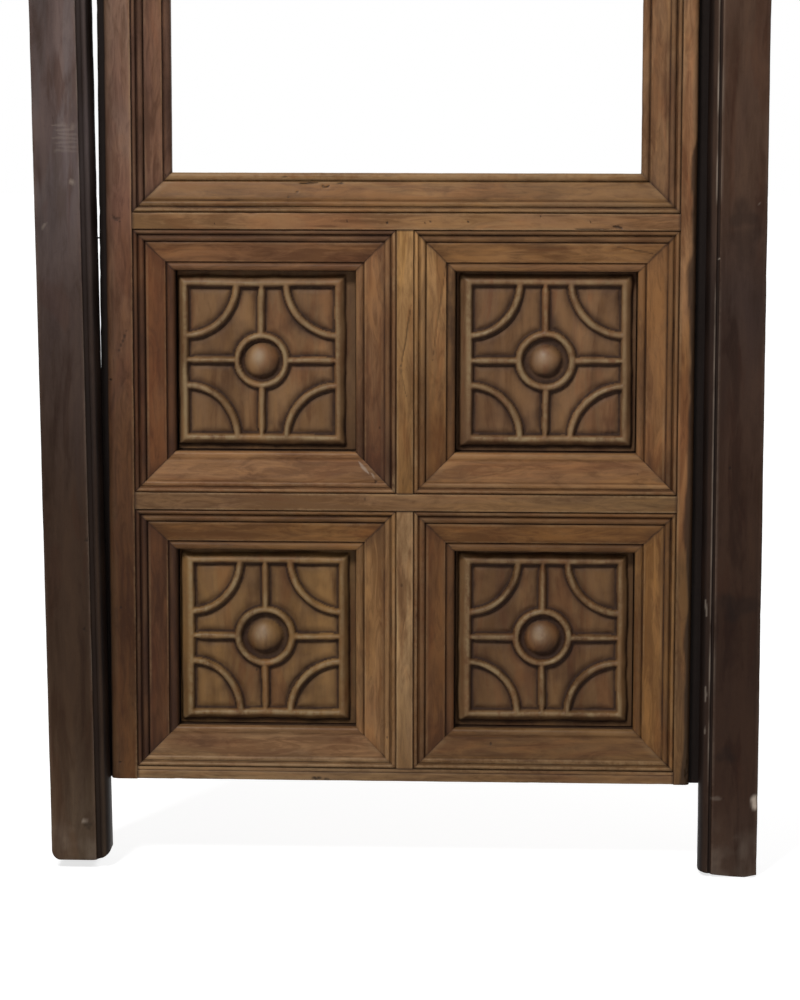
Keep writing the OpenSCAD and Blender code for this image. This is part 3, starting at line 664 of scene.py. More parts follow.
def carving(key, mat, seed, shift, scale, ring_r, boss_r, left, rough):
    """A hand-carved board: border, cross, ring, boss and four corner arcs, with a lower margin round them.

    shift and scale place the pattern on its block, left is how far in the left border lies, and rough
    is how uneven the chisel left the field.
    """
    lo, hi = door("carved_panel_" + key)
    half_x, half_z = ((hi[k] - lo[k]) / 2 - BOARD_LAP - BLOCK_GAP for k in (0, 2))
    line = (hi[0] - lo[0]) / 2 - BOARD_LAP - MARGIN - SLOPE
    n = GRID
    X, Z = np.meshgrid(np.linspace(-half_x, half_x, n), np.linspace(-half_z, half_z, n))
    q = np.stack([X, np.zeros_like(X), Z], -1)

    # distances from the lines of the pattern
    x = (X - shift[0]) / scale[0] + 1.2 * fbm(q, 60, seed)
    z = (Z - shift[1]) / scale[1] + 1.2 * fbm(q, 60, seed + 1)
    x = x - left * smooth(-x, 30, line - 4)
    r = np.hypot(x, z)
    out = np.maximum(np.abs(x), np.abs(z))
    border = line - out
    inside, beyond, d = border > 0, -border, np.abs(border)
    cross = np.where(out < line + 2, np.minimum(np.abs(x), np.abs(z)), FAR)
    # the bars thin out towards the border
    cross = cross * (1 + 0.45 * smooth(out, line - 14, line - 2))
    cross = np.where(r < ring_r, FAR, cross)
    ring, arcs = np.abs(r - ring_r), corner_arcs(x, z, line)

    # the height of the ridges, the slope outside the border and the boss
    wide = 1 + 0.2 * fbm(q, 34, seed + 2)

    def ridge(d, h, w):
        return (h + 0.6) * (1 - unit(d / (w * wide)) ** 2.6) ** 0.6 - 0.6

    slope = 9 * (1 + 0.2 * fbm(q, 40, seed + 3)) + left * smooth(-x - np.abs(z), -8, 8)
    outer = BORDER[0] - 5 * smooth(beyond, 0.5, slope) - 6.4 * smooth(beyond, slope - 1, slope + 1.6)
    h = np.maximum(np.where(inside, ridge(d, *BORDER), outer), np.where(inside, -0.9, NONE))
    lift = 1 + 0.08 * fbm(q, 45, seed + 4)
    for away, (height, width) in ((cross, CROSS), (arcs, ARCS), (ring, RING)):
        h = np.maximum(h, np.where(inside | (d < 4), ridge(away, height * lift, width), NONE))
    ball = (boss_r**2 + BOSS_H**2) / (2 * BOSS_H)
    dome = np.sqrt(np.maximum(ball**2 - r**2, 0)) - (ball - BOSS_H)
    h = np.maximum(h, np.where(r < boss_r + 0.8, dome, NONE))

    # the field between them, cut down beside the ridges, and the groove round the boss
    nearest = np.minimum(np.minimum(np.where(inside, d, 0), cross), np.minimum(arcs, ring))
    field = inside & (nearest > 5) & (r > boss_r + 0.5)
    pillow = 1.7 * smooth(nearest, 6.6, 15) + 0.4 * fbm(q, 26, seed + 6) * smooth(nearest, 8, 15)
    pillow += rough * fbm(q, 19, seed + 18, 2) * smooth(nearest, 7, 11)
    trench = -1.5 * bell(nearest, 6.6, 1.6)
    h = np.where(field, np.maximum(h, trench + pillow * 0.9 - 0.3), h)
    groove = -1 + 0.5 * np.abs(r - boss_r - 2.5) ** 1.3
    h = np.where((r < ring_r - 4) & (r > boss_r), np.minimum(h, groove), h)
    h += 0.24 * fbm(q, 15, seed + 8, 2) + 0.07 * noise(q, 4, seed + 9)
    h = blur(h, 2) * 0.5 + h * 0.5

    # painted shade and shadow, with some grime: darker in the hollows, and under and beside the ridges from
    # a light at the upper left
    hollow = (blur(h, 10) - h) * (n / TUNED_GRID) ** 2
    cell = 2 * half_x / (n - 1)
    rise_z, rise_x = np.gradient(h, cell)
    under = smooth(rise_z * 0.8 - rise_x * 0.5, 0.15, 1)
    dirt = np.clip(hollow * 0.22, 0, 0.5) * inside + bell(nearest, 6.4, 1.2) * field
    dirt += 0.55 * under * (0.8 + 0.4 * noise(q, 25, seed + 15))
    dirt += 0.5 * smooth(sheltered(h, cell), -0.5, 2.5) + 0.4 * fade(nearest, 7, 20) * field
    # painted shade in the groove round the boss
    dirt += np.where((r < ring_r - 4.5) & (r > boss_r - 0.4), 0.45, 0)
    dirt += 0.4 * unit(1.4 * fbm(q, 26, seed + 17)) * field
    in_boss = r < boss_r
    # painted shade on the boss's lower right and rim
    dirt += in_boss * (0.55 * smooth(0.5 * x - 0.85 * z, 0, 20) + 0.35 * smooth(r, boss_r - 7, boss_r))
    # painted shade in the margin and at the block's edges
    dirt += 0.2 * smooth(beyond, slope - 0.5, slope + 2) + 0.2 * smooth(beyond, 2.5, 6)
    edge = np.minimum(half_x - np.abs(X), half_z - np.abs(Z))
    dirt = np.maximum(dirt, 0.6 * fade(edge, 0.2, 1.8))
    dirt *= 0.85 + 0.3 * noise(q, 22, seed + 16)

    # the ridges are rubbed and carry painted highlights, the border more at its lower and left sides, and
    # the boss has one painted highlight
    wear = (unit(-hollow * 0.5) + 0.5 * smooth(h, 5, 8)) * np.where(in_boss, 0, 1)
    by_side = np.where(np.abs(z) > np.abs(x), np.where(z > 0, 0.55, 0.95), np.where(x > 0, 0.6, 1))
    wear *= np.where(d < 8, by_side, 0.85)
    wear *= np.clip(0.75 + 0.9 * fbm(q, 30, seed + 12), 0.1, 1.2) * (1 - unit(dirt))
    shine = in_boss * np.exp(-((x + 4) ** 2 + (z - 5) ** 2) / 90)
    wear += 0.8 * shine

    # the block's face with its sides, and the board behind it
    board_y = hi[1] - BOARD_T
    idx = np.arange(n * n).reshape(n, n)
    quads = np.stack([idx[:-1, :-1], idx[:-1, 1:], idx[1:, 1:], idx[1:, :-1]], -1).reshape(-1, 4)
    rim = np.concatenate([idx[0, :-1], idx[:-1, -1], idx[-1, :0:-1], idx[:0:-1, 0]])
    verts = np.stack([X, lo[1] + FIELD_DEPTH - h, Z], -1).reshape(-1, 3)
    back = verts[rim].copy()
    back[:, 1] = board_y
    low = len(verts) + np.arange(len(rim))
    sides = np.stack([rim, low, np.roll(low, -1), np.roll(rim, -1)], -1)
    verts = np.concatenate([verts, back]) + [(lo[0] + hi[0]) / 2, 0, (lo[2] + hi[2]) / 2]
    # the block's sides in the gap get painted shade
    data = {
        layer: np.concatenate([unit(value).ravel(), np.full(len(rim), at_rim)])
        for layer, value, at_rim in (
            ("dirt", dirt, 0.6), ("wear", wear, 0), ("mark", 0 * dirt, 0), ("pale", 0.22 * shine, 0)
        )
    }
    x0, x1, z0, z1 = lo[0] + BOARD_EDGE, hi[0] - BOARD_EDGE, lo[2] + BOARD_EDGE, hi[2] - BOARD_EDGE
    loop = finer(rounded([(x0, board_y), (x1, board_y), (x1, hi[1]), (x0, hi[1])], [0.3] * 4, 2), 12, 0, 12)
    # painted shade on the board in the recess behind the block, darkest at its face
    board = bar(loop, z0, z1, upright, seed + 20, 12, 0.15, 0.1, 0, dirt=0.25)
    board[3]["dirt"][board[0][:, 1] < board_y + 3] = 0.45
    block = verts, np.concatenate([quads, sides]), [list(low)], data
    make("carving_" + key, *join([block, board]), "leaf", mat, "carved_wood", ["carved_panel_" + key])


# ---- members of the leaf ----

# depths down to which the face, and the painted shade on the mouldings' backs and on the coffers' floor,
# reach
FACE, MOULD_BACK, COFFER_BACK = 12, 19.5, 47
MEMBER_GAP = 0.2
# how deep a stile's worn outer arris reaches, and half the width and the depth of a rail's groove
SHOULDER, GROOVE_W, GROOVE_D = 8.5, 1.3, 1.2


def stile(side, x0, s, tongue, seat, worn, mat, seed, marks, soft, ragged=None):
    """A stile with its tongue at x0 and its face running inwards from there, s being 1 or -1.

    worn is the radius of its outer arris, soft the width and strength of the shade along it, and ragged
    the black edge, part stain and part painted shade beside the jamb, as (height, width) points.
    """
    outline = [(0, TONGUE), (tongue, TONGUE)] + arc(tongue + worn, SHOULDER, worn, SHOULDER, 180, 270, 9)
    outline += [(seat, 0), (seat, MOULD_T), (seat + MOULD_W, MOULD_T), (seat + MOULD_W, LEAF_T), (0, LEAF_T)]
    loop = finer(rounded(outline, [0.8, 0.5] + [0] * 10 + [1.2, 0, 0.6, 2, 2.5]), 2.8)

    def shape(u, v, t):
        open_part = (t > Z_SILL) & (t < Z_LINTEL)
        u = np.where(open_part, np.minimum(u, seat + WIN_W - REBATE_W), u)
        v = np.where(t > Z_TOP - TONGUE_TOP, np.maximum(v, TONGUE), v)
        return u, v, t

    part = bar(loop, Z_LEAF, Z_TOP, lambda u, v, t: (x0 + s * u, v, t), seed, 5.5, 0.35, 0.14, 0.5, marks,
               shape, (Z_SILL, Z_LINTEL, Z_TOP - TONGUE_TOP), edge_wear=0.7)
    at, data = part[0], part[3]
    u, v, z = s * (at[:, 0] - x0) - tongue, at[:, 1], at[:, 2]
    # the tongue and the side of the shoulder are painted black: age-black with painted shade in the gap
    # beside the jamb
    black = smooth(v, 1.6, SHOULDER) * (v < 40) * (u < 8)
    deepen(data, "dirt", black)
    deepen(data, "mark", 0.96 * black)
    if ragged:
        # the black edge: stain, with painted shade beside the jamb
        edge = np.interp(z, *zip(*ragged)) + 11 * fbm(at * [1, 1, 0.35], 34, seed + 8) - u
        deepen(data, "mark", 0.75 * smooth(edge, -1.5, 2) * (v < FACE))
    # painted shade along the outer arris, and painted shade on the sides inside the coffers and the window
    deepen(data, "dirt", soft[1] * fade(u, 2, soft[0]) * (v < FACE))
    deepen(data, "dirt", 0.9 * (u > seat - tongue + 3) * (v < COFFER_BACK))
    make("post_" + side, *part, "leaf", mat, "leaf_wood", ["stile_" + side])


def with_back(name, node, front, a, b, start, end, place, mat, seed, slot):
    """Joins a rail's or muntin's face to its wider part behind the mouldings, from a to b across."""
    v = front[0][:, 1]
    # painted shade on the face's sides behind the mouldings
    deepen(front[3], "dirt", 0.95 * smooth(v, 2, 4) * (v < MOULD_BACK))
    outline = rounded([(a, MOULD_T), (b, MOULD_T), (b, LEAF_T), (a, LEAF_T)], [0, 0, 1.5, 1.5], 2)
    back = bar(finer(outline, 10, FAR), start + MEMBER_GAP, end - MEMBER_GAP, place, seed, 10, 0.3, 0.12,
               0.5, edge_wear=0.7)
    # painted shade on the back part's sides inside the coffers
    deepen(back[3], "dirt", 0.9 * (back[0][:, 1] < COFFER_BACK))
    make(name, *join([front, back]), "leaf", mat, slot, [node])


def rail(key, back, face, mat, seed, marks={}, worn=(1.6, 1.6), groove=None):
    """A rail between the heights given for its back and its face; worn is the radius of its two arrises."""
    h = face[1] - face[0]
    pts, radii = [(0, 0), (h, 0), (h, MOULD_T), (0, MOULD_T)], [*worn, 0, 0]
    if groove:
        pts[1:1] = [(groove - GROOVE_W, 0), (groove, GROOVE_D), (groove + GROOVE_W, 0)]
        radii[1:1] = [0.4] * 3
    top = key == "top"
    if top:
        pts[1:2] = [(h - TONGUE_TOP, 0), (h - TONGUE_TOP, TONGUE), (h, TONGUE)]
        radii = [1.6, 2.5, 0.4, 1.5, 0, 0]
    front = bar(finer(rounded(pts, radii), 2.1), -X_SEAT, X_SEAT, lambda u, v, t: (t, v, face[0] + u), seed,
                8 if top else 4.2, 0.3, 0.14, 0.55, marks, end_dirt=0.8, edge_wear=0.9, along=0)
    with_back("rail_" + key, key + "_rail", front, *back, -X_IN, X_IN, lambda u, v, t: (t, v, u), mat,
              seed + 1, "leaf_wood")


def muntin(key, z0, z1, mat, seed, marks={}):
    pts = [(-MUNTIN, 0), (MUNTIN, 0), (MUNTIN, MOULD_T), (-MUNTIN, MOULD_T)]
    front = bar(finer(rounded(pts, [1.8, 1.8, 0, 0]), 1.6), z0 + MEMBER_GAP, z1 - MEMBER_GAP,
                upright, seed, 2.6, 0.35, 0.16, 0.5, marks, end_dirt=0.8, edge_wear=0.8)
    w = MUNTIN + MOULD_W
    with_back("bar_" + key, "muntin_" + key, front, -w, w, z0 + MOULD_W, z1 - MOULD_W, upright, mat,
              seed + 1, "muntin_wood")


# ---- members of the frame ----


def frame_section(line, depth):
    """Rounded lip up to an arris at line, a groove of this depth, the flat face and the rebate."""
    groove = (16.4, FACE_Y + depth - 0.6)
    flat = [groove, (17.5, FACE_Y), (JAMB_W, FACE_Y), (JAMB_W, LEAF_T), (LIP_W, LEAF_T), (LIP_W, Y_LIP)]
    return (
        [(0, Y_LIP)]
        + arc(line - 0.5, 0, line - 0.5, -FACE_Y - 1, 180, 270, 10)
        + [(line + 0.6, FACE_Y + 1.6), (line + 1.6, FACE_Y + depth), groove]
        + rounded(flat, [0, 0.9, 3.2, 2.5, 1, 0.2], 6)[1:]
    )


def jamb(name, node, section, start, end, place, mat, seed, marks, paint, along=2):
    step = 5.5 if along == 2 else 9
    part = bar(finer(section, 2.9), start, end, place, seed, step, 0.4, 0.16, 0.5, marks, end_dirt=0.3,
               reach=2.4, edge_wear=0.8, along=along, paint=paint)
    make(name, *part, "frame", mat, "frame_wood", [node])


def foot(u, w_out, h_out, w_in, h_in):
    """How much the foot of the left jamb is worn off at its outer and inner corners."""
    a = unit((u - (JAMB_W - w_out)) / w_out)
    b = unit((w_in - u) / w_in)
    return h_out * (1 - np.sqrt(1 - a**1.6)) + h_in * (1 - np.sqrt(1 - b**2))


# ---- the leaf ----

# tones, one colour or (metres along the piece, colour) stops
TONES = {
    "ul_left": (88, 57, 38), "ul_right": [(0.58, (73, 49, 35)), (0.84, (119, 86, 59))],
    "ul_top": (109, 76, 51), "ul_bottom": (117, 84, 56),
    "ur_left": [(0.6, (92, 63, 39)), (0.84, (144, 109, 73))], "ur_right": (108, 76, 49),
    "ur_top": (117, 84, 54), "ur_bottom": (116, 83, 54),
    "ll_left": (74, 49, 34), "ll_right": (119, 88, 58),
    "ll_top": [(-0.36, (92, 63, 38)), (-0.05, (111, 78, 46))], "ll_bottom": (118, 90, 63),
    "lr_left": (91, 62, 39), "lr_right": (115, 82, 49), "lr_top": (100, 69, 41), "lr_bottom": (93, 67, 43),
    "window_left": (101, 73, 58), "window_right": (112, 83, 59), "window_top": (112, 82, 57),
    "window_bottom": [(-0.34, (98, 70, 44)), (0.05, (117, 86, 56)), (0.34, (107, 79, 53))],
}
MARKS = {
    "window_bottom": dict(
        crack=[(-143, 945.5, -118, 945.5, 1.7, 1, 0.85), (-113, 943, -108, 939.5, 1.5, 1, 0.9),
               (-108, 939.5, -102, 943, 1.5, 1, 0.9)],
        dent=[(-87, 945.5, 5.5, 1.8, 0.8, 0.8), (-165, 954, 4.5, 1.6, 0.6, 0.7),
              (-146, 933.5, 2.4, 1.7, 0.5, 0.7), (-158, 927, 1.8, 1.6, 0.5, 0.7)],
    ),
    "ul_bottom": dict(
        scratch=[(-63, 567, -50, 552, 3, 0.4, 0.4), (-47, 553, -41, 545, 1.8, 0.4, 0.3)],
        dent=[(-40, 541, 2.4, 2.4, 0.6, 0.7)],
    ),
    "ur_left": dict(crack=[(55, 840, 38, 707, 1.5, 0.8, 0.45)]),
    "ur_top": dict(crack=[(281, 861, 343, 851, 1.5, 0.7, 0.5)]),
}
# the window's other sides are plain, so their rings lie further apart
STEPS = {"window_top": 9, "window_left": 6, "window_right": 6}
for i, (key, tone) in enumerate(TONES.items()):
    grain = "z" if key.endswith(("left", "right")) else "x"
    mat = wood("trim_" + key, tone, grain, 3 + i * 1.7)
    moulding(key, mat, 40 + i * 5, MARKS.get(key, {}), STEPS.get(key, 3.6), 1.7 if key in MARKS else 2.3)

# tone, shift and scale of the pattern, radii of the ring and the boss, left border's inset, chisel marks
BLOCKS = {
    "ul": ((110, 83, 58), (-6.2, 0), (0.984, 0.992), 34, 24.5, 0, 0.9),
    "ur": ((106, 79, 56), (-0.7, 1.5), (1.007, 1), 36.3, 22.5, 3.6, 0.9),
    "ll": ((110, 83, 54), (-2.9, 0.5), (1, 1), 36.8, 23.8, 3.9, 1.8),
    "lr": ((96, 71, 48), (-2, 2), (1, 1), 36, 24.5, 3.6, 1.4),
}
CARVED = dict(dark=0.7, light=1.25, streak=0.06, red=0.7, cool=0.6, stain=0.75, rough=0.5, gloss=0.14,
              wear=(128, 108, 78), wear_k=0.8, bump=0.8, fleck=0.2)
for i, (key, (tone, *cut)) in enumerate(BLOCKS.items()):
    carving(key, wood("carved_" + key, tone, "z", 50 + i * 3.1, **CARVED), 200 + i * 30, *cut)

# darker towards the bottom: partly the wood's own tone, partly painted shade from the jamb and the light's
# fall-off
left_tones = [(0.13, (78, 55, 36)), (0.35, (63, 41, 27)), (0.6, (76, 52, 36)), (0.85, (90, 65, 51)),
              (0.92, (92, 67, 56)), (1, (103, 80, 67)), (2.17, (108, 83, 69))]
left_marks = dict(
    crack=[(-397, 901, -386, 893, 1.4, 0.5, 0.7), (-379, 747, -391, 712, 1.3, 1, 0.7)],
    dent=[(-392, 897, 7, 3, 0.4, 0.5), (-402, 678, 2, 2, 2, 0.9), (-394, 147, 2.2, 2.2, 2, 0.9)],
)
stile("left", LEAF_L, 1, TONGUE_L, -X_SEAT - LEAF_L, 12,
      wood("stile_left", left_tones, "z", 61, cool=0.5), 300, left_marks, (18, 0.45))
right_tones = [(0.13, (101, 75, 50)), (0.42, (83, 60, 39)), (0.58, (120, 84, 56)), (0.7, (111, 79, 52)),
               (0.9, (128, 95, 68)), (2.17, (119, 89, 63))]
right_marks = dict(
    dent=[(388, 140, 3, 9, 1.4, 0.8), (389, 155, 2, 5, 1, 0.7), (389, 905, 3, 2, 0.6, 0.7)],
)
right_edge = [(120, 9), (420, 9), (560, 6), (720, 6), (880, 10), (985, 9), (1020, -3), (2170, -3)]
stile("right", LEAF_R, -1, TONGUE_R, LEAF_R - X_SEAT, 7,
      wood("stile_right", right_tones, "z", 67, cool=0.6, stain=0.8), 330, right_marks, (12, 0.35),
      right_edge)


def rail_wood(key, seed, tones, stain):
    """Wood with four tones, at the middles of the coffers and beside the muntin."""
    return wood("rail_" + key, list(zip((-0.36, -0.1, 0.1, 0.36), tones)), "x", seed, stain=stain)


rail("top", (Z_LINTEL, Z_TOP), (Z_WTOP, Z_TOP), wood("rail_top", (120, 91, 64), "x", 71), 360)
holes = ((-258, 890, 1.5), (-79, 895, 1.5), (27, 892.5, 1.5), (34, 894, 1.3), (85, 894, 1.6),
         (182, 902, 1.4), (249, 895, 1.6))
lock_marks = dict(
    dent=[(x, z, r, r, 1.5, 0.9) for x, z, r in holes] + [(-24, 892.5, 2, 2, 1.5, 1)],
    crack=[(226, 885, 278, 885, 1.7, 0.8, 0.8), (279, 888.5, 292, 886, 2.2, 1.8, 0.85)],
)
rail("lock", (Z_LOCK - MOULD_W, Z_SILL), (Z_LOCK, Z_WIN),
     rail_wood("lock", 73, ((121, 93, 64), (113, 82, 57), (121, 91, 63), (111, 81, 57)), 0.35),
     370, lock_marks)
rail("cross", (Z_CROSS - MOULD_W, Z_UPPER + MOULD_W), (Z_CROSS, Z_UPPER),
     rail_wood("cross", 79, ((96, 72, 51), (112, 84, 59), (108, 81, 56), (95, 72, 49)), 0.7), 380)
rail("bottom", (Z_LEAF, Z_LOWER + MOULD_W), (Z_LEAF, Z_LOWER),
     rail_wood("bottom", 83, ((116, 92, 66), (111, 87, 62), (104, 79, 55), (103, 76, 52)), 0.7),
     390, dict(dent=[(-122, 127, 9, 3, 1.2, 0.8), (-108, 126, 5, 2.5, 1, 0.7)]), (3, 1.4), 12.5)
upper_tones = [(0.53, (100, 72, 44)), (0.7, (120, 90, 59)), (0.86, (143, 109, 71))]
muntin("upper", Z_UPPER, Z_LOCK, wood("bar_upper", upper_tones, "z", 89, gold=0.4), 400,
       dict(crack=[(8.5, 782, -6.5, 694, 1.5, 0.9, 0.55), (-7, 700, 3, 655, 1.3, 0.5, 0.4)]))
lower_tones = [(0.15, (99, 75, 52)), (0.32, (135, 107, 76)), (0.48, (128, 100, 71))]
muntin("lower", Z_LOWER, Z_CROSS, wood("bar_lower", lower_tones, "z", 97, gold=0.15, stain=0.9), 410)

# ---- the frame ----

AGED = dict(dark=0.74, light=1.2, streak=0.6, red=0.5, cool=0.25, gold=0, stain=0.8, rough=0.48,
            gloss=0.08, wear=(92, 74, 62), fleck=0.35)
FRAME_GAP = 0.25


def blacken(across, rubs, outer=0):
    """Age-black with painted shade across the lip in (u, strength) points, rubbed arrises with painted
    highlights at (u, paleness), and a dark film outside.
    """

    def paint(u, v, t, data):
        q = np.stack([u * 4, v, t], -1)
        # age-black with painted shade across the lip
        black = np.interp(u, *zip(*across)) * (0.92 + 0.16 * noise(q, 60, 77)) * (v < 20)
        film = outer * smooth(u + 8 * fbm(q * [0.2, 0, 1], 90, 79), 44, 54)
        film = film * smooth(t, 830, 900) * fade(t, 1500, 1900)
        deepen(data, "mark", np.maximum(black, film * (0.8 + 0.5 * noise(q, 50, 80))))
        data["wear"] = data["wear"] * (1 - unit(black))
        if outer:
            # painted shade on the inner part of the face, low down
            inner_shade = 0.16 * fade(u, 28, 50) * smooth(t, 220, 330) * fade(t, 580, 680)
            deepen(data, "mark", inner_shade * (v < 0))
        dust = 0.16 * unit(0.3 + 1.3 * fbm(q * [0.25, 1, 1], 22, 81)) * fade(t, 15, 95)
        deepen(data, "pale", dust * (u > 18))
        patchy = unit(0.35 + 1.1 * fbm(np.stack([u * 0, v * 0, t], -1), 60, 78))
        # rubbed arrises with painted highlights, brighter higher up
        for at, pale in rubs:
            rub_highlight = patchy * bell(u, at, 0.6) * (v < FACE_Y + 2.5)
            data["mark"] = data["mark"] * (1 - 0.8 * rub_highlight)
            deepen(data, "pale", pale * (0.55 + 0.45 * smooth(t, 850, 980)) * rub_highlight)

    return paint


left_tones = [(0.01, (76, 63, 51)), (0.2, (56, 42, 32)), (0.5, (52, 39, 31)), (0.8, (61, 50, 46)),
              (1, (88, 77, 75)), (2.2, (74, 61, 54))]
left_marks = dict(
    dent=[(-433, 460, 3, 4, 1.2, 0.8), (-438, 336, 2, 4, 1.2, 0.8), (-437, 60, 6, 6, 1, 0.45)],
    scratch=[(-454, 947, -441, 947, 1.7, 0.2, 0.3), (-488, 886, -483, 893, 1.8, 0.2, 0.22),
             (-448, 67, -428, 65, 1, 0.4, 0.4)],
)
# seven saw marks, one below the other
for k in range(7):
    z = 1022 - 5.6 * k
    left_marks["scratch"].append((-474 + 4 * (k % 3), z, -440, z, 2.6, 0.15, 0.14 - 0.01 * k))
t_in, t_out = Z_HEAD / C, (Z_HEAD + JAMB_W + JAMB_W * S) / C
jamb("side_left", "jamb_left", frame_section(10, 4),
     lambda u: (FOOT_L + foot(u, 11, 15, 25, 15) + u * S) / C,
     lambda u: t_in + (t_out - t_in) * u / JAMB_W - FRAME_GAP,
     lambda u, v, t: (LIP_L - u * C - t * S + 1.5 * unit(1 - u / 12), v, t * C - u * S),
     wood("jamb_left", left_tones, "z", 101, **AGED), 420, left_marks,
     blacken([(0, 1), (4.2, 1), (5.6, 0.45), (7.4, 0.4), (8.8, 0.85), (16.6, 0.85), (17.6, 0)],
             [(17.6, 0.3)], 0.38))

right_tones = [(0.01, (60, 46, 38)), (0.12, (48, 34, 27)), (0.35, (42, 30, 24)), (0.55, (53, 38, 30)),
               (0.8, (52, 40, 35)), (0.95, (67, 50, 40)), (2.2, (64, 48, 39))]
right_marks = dict(
    scratch=[(410, 385, 410.5, 362, 1.8, 0.3, 0.3), (411, 266, 411, 244, 1.8, 0.3, 0.3),
             (411, 206, 411, 199, 1.3, 0.3, 0.3)],
    dent=[(450, 375, 34, 22, 0.3, 0.45), (440, 170, 16, 14, 0.3, 0.4), (452, 905, 22, 24, 0.2, 0.4),
          (455, 870, 24, 30, 0.2, 0.3)],
    pale=[(481, 106, 7, 13, 2.2, 1), (474, 920, 1.5, 1.5, 0.3, 0.6), (421, 847, 1.3, 1.3, 0.3, 0.6),
          (428, 110, 9, 4, 0.3, 0.12)],
)
# how much is worn off the right foot, across it
right_foot = [0, 1, 8, 22, 45, 63, 77], [7.4, 6.6, 5.2, 2.9, 0.9, 0, 3]
jamb("side_right", "jamb_right", frame_section(12.6, 3.4), lambda u: np.interp(u, *right_foot),
     lambda u: Z_HEAD + u - FRAME_GAP, lambda u, v, t: (RIGHT_LO[0] + u, v, t),
     wood("jamb_right", right_tones, "z", 107, **AGED), 430, right_marks,
     blacken([(0, 1), (4, 1), (6.5, 0.5), (11, 0.4), (12.3, 0.2), (13, 0.9), (16, 0.8), (17.8, 0)],
             [(12.2, 0.8), (17.8, 0.3)]))

x_in = LIP_L - Z_HEAD * math.tan(LEAN)
x_out = LIP_L - (Z_HEAD + JAMB_W) * math.tan(LEAN) - JAMB_W / C
jamb("head", "frame_head", frame_section(11, 3.6),
     lambda u: x_in + (x_out - x_in) * u / JAMB_W + FRAME_GAP, lambda u: RIGHT_LO[0] + u - FRAME_GAP,
     lambda u, v, t: (t, v, Z_HEAD + u), wood("head", (66, 50, 41), "x", 113, **AGED), 440, {},
     blacken([(0, 1), (4, 1), (6.5, 0.5), (11, 0.4), (13, 0.8), (16, 0.8), (17.8, 0)],
             [(12, 0.3), (17.8, 0.2)]), 0)

# ---- fittings ----

DARK_IRON = iron("dark_iron", (58, 52, 48), (92, 62, 44), 3)
OLD_STEEL = iron("old_steel", (88, 82, 76), (96, 68, 50), 5, 0.85)
BLACK_IRON = iron("black_iron", (22, 20, 19), (40, 28, 22), 7, 0.2)
PEG_WOOD = wood("pegs", (112, 86, 60), "z", 121, streak=0.4)
for node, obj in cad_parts.items():
    metal = node.startswith("hinge_") or node == "edge_nail"
    if metal:
        mat = OLD_STEEL if "screws" in node else BLACK_IRON if node == "edge_nail" else DARK_IRON
        obj.modifiers.new("weld", "WELD").merge_threshold = 0.00001
    if "plate" in node:
        bevel = obj.modifiers.new("bevel", "BEVEL")
        bevel.width, bevel.segments, bevel.limit_method = 0.0004, 2, "ANGLE"
        bevel.angle_limit = math.radians(40)
    if metal or node.endswith("_pegs"):
        obj.data.materials.clear()
        obj.data.materials.append(mat if metal else PEG_WOOD)

# ---- floor, light and camera ----

FLOOR = 30
# the floor's tone, how bright it is far off, and how much of that it loses near the object, in metres
FLOOR_TONE, GLOW, SHADE, SHADE_FROM, SHADE_TO = 0.78, 1.15, 0.42, 0.9, 3
WORLD_LIGHT = 0.18
LENS, SENSOR, CLIP = 108, 36, 200
# the camera's place in millimetres, and its turn, tilt and roll in degrees
CAM_X, CAM_Y, CAM_Z = 182.75, -4048.4, 1054.3
TURN, TILT, ROLL = 2.677, 90 - 7.563, 0.077


def ray_mix(t, lit, seen):
    """lit for light on the object, seen for what the camera and gloss see."""
    path = t.nt.nodes.new("ShaderNodeLightPath").outputs
    direct = t.math("MAXIMUM", path["Is Camera Ray"], path["Is Glossy Ray"])
    return t.node("MixShader", i0=t.math("MAXIMUM", direct, path["Is Transmission Ray"]), i1=lit, i2=seen)


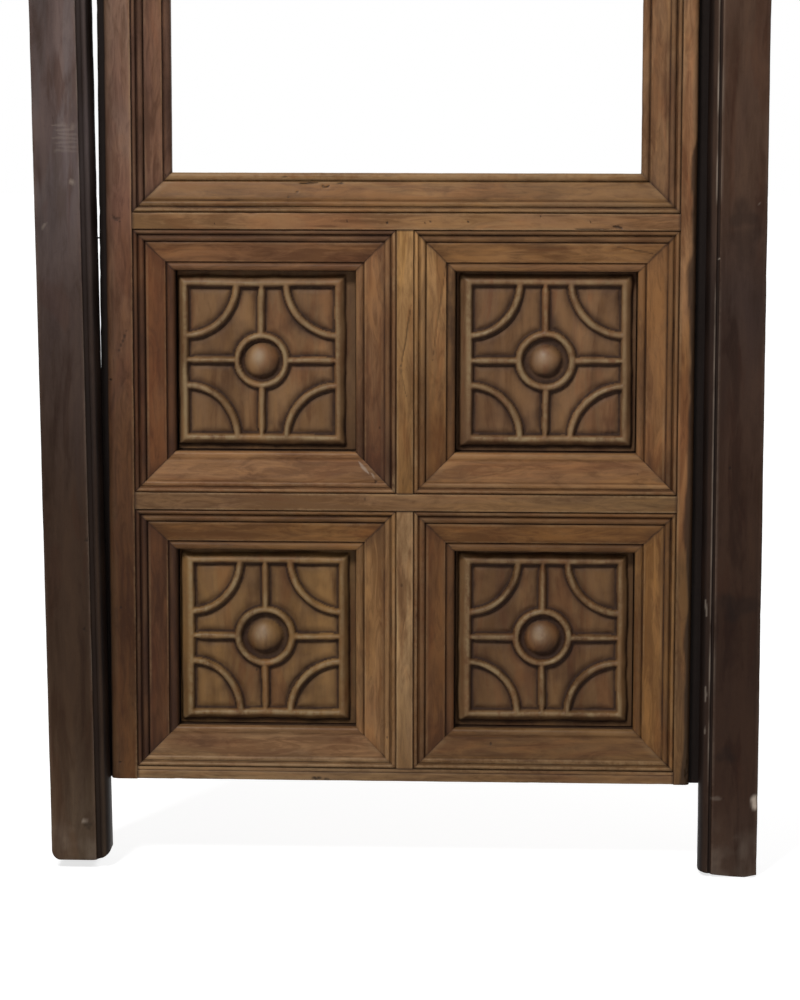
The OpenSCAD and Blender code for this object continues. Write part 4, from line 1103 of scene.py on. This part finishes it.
world = bpy.data.worlds.new("studio")
bpy.context.scene.world = world
t = Tree(world)
soft, white = (t.node("Background", i0=(1, 1, 1, 1), i1=strength) for strength in (WORLD_LIGHT, 1))
t.output("World", ray_mix(t, soft, white))

mesh = bpy.data.meshes.new("floor")
corners = [(-FLOOR, -FLOOR, 0), (FLOOR, -FLOOR, 0), (FLOOR, FLOOR, 0), (-FLOOR, FLOOR, 0)]
mesh.from_pydata(corners, [], [(0, 1, 2, 3)])
mesh.materials.append(bpy.data.materials.new("pale_floor"))
t = Tree(mesh.materials[0])
# near the object the floor shows its shadow, further off it is plain white
away = t.node("VectorMath", out=1, props={"operation": "LENGTH"}, i0=t.node("TexCoord", out=3))
shade = t.ramp(away, SHADE_FROM, SHADE_TO, SHADE, 0)
glow = t.node("Emission", i1=t.math("SUBTRACT", GLOW, shade))
seen = t.node("AddShader", i0=t.node("BsdfDiffuse", i0=shade), i1=glow)
lit = t.node("BsdfDiffuse", i0=(FLOOR_TONE, FLOOR_TONE, FLOOR_TONE, 1))
t.output("Material", ray_mix(t, lit, seen))
added("floor", mesh)


def lamp(name, at, to, side, power):
    data = bpy.data.lights.new(name, "AREA")
    data.shape, data.size, data.size_y, data.energy = "RECTANGLE", side, side, power
    obj = added(name, data)
    obj.location = at
    obj.rotation_euler = (Vector(to) - Vector(at)).to_track_quat("-Z", "Y").to_euler()


lamp("key", (-1.5, -3.6, 4.3), (0, 0, 0.9), 1.1, 266)
lamp("fill", (2.6, -4.4, 1.4), (0, 0, 0.9), 2.5, 14)
lamp("back", (2.4, 3.6, 3.4), (0, 0, 1), 1.6, 190)

cam = bpy.data.cameras.new("camera")
cam.lens, cam.sensor_width, cam.clip_end = LENS, SENSOR, CLIP
cam_obj = added("camera", cam)
spot = Matrix.Translation(Vector(((CAM_X + MID) / 1000, (CAM_Y + FRONT) / 1000, CAM_Z / 1000)))
for angle, axis in ((TURN, "Z"), (TILT, "X"), (ROLL, "Z")):
    spot = spot @ Matrix.Rotation(math.radians(angle), 4, axis)
cam_obj.matrix_world = spot
bpy.context.scene.camera = cam_obj
bpy.context.scene.view_settings.view_transform = "Standard"
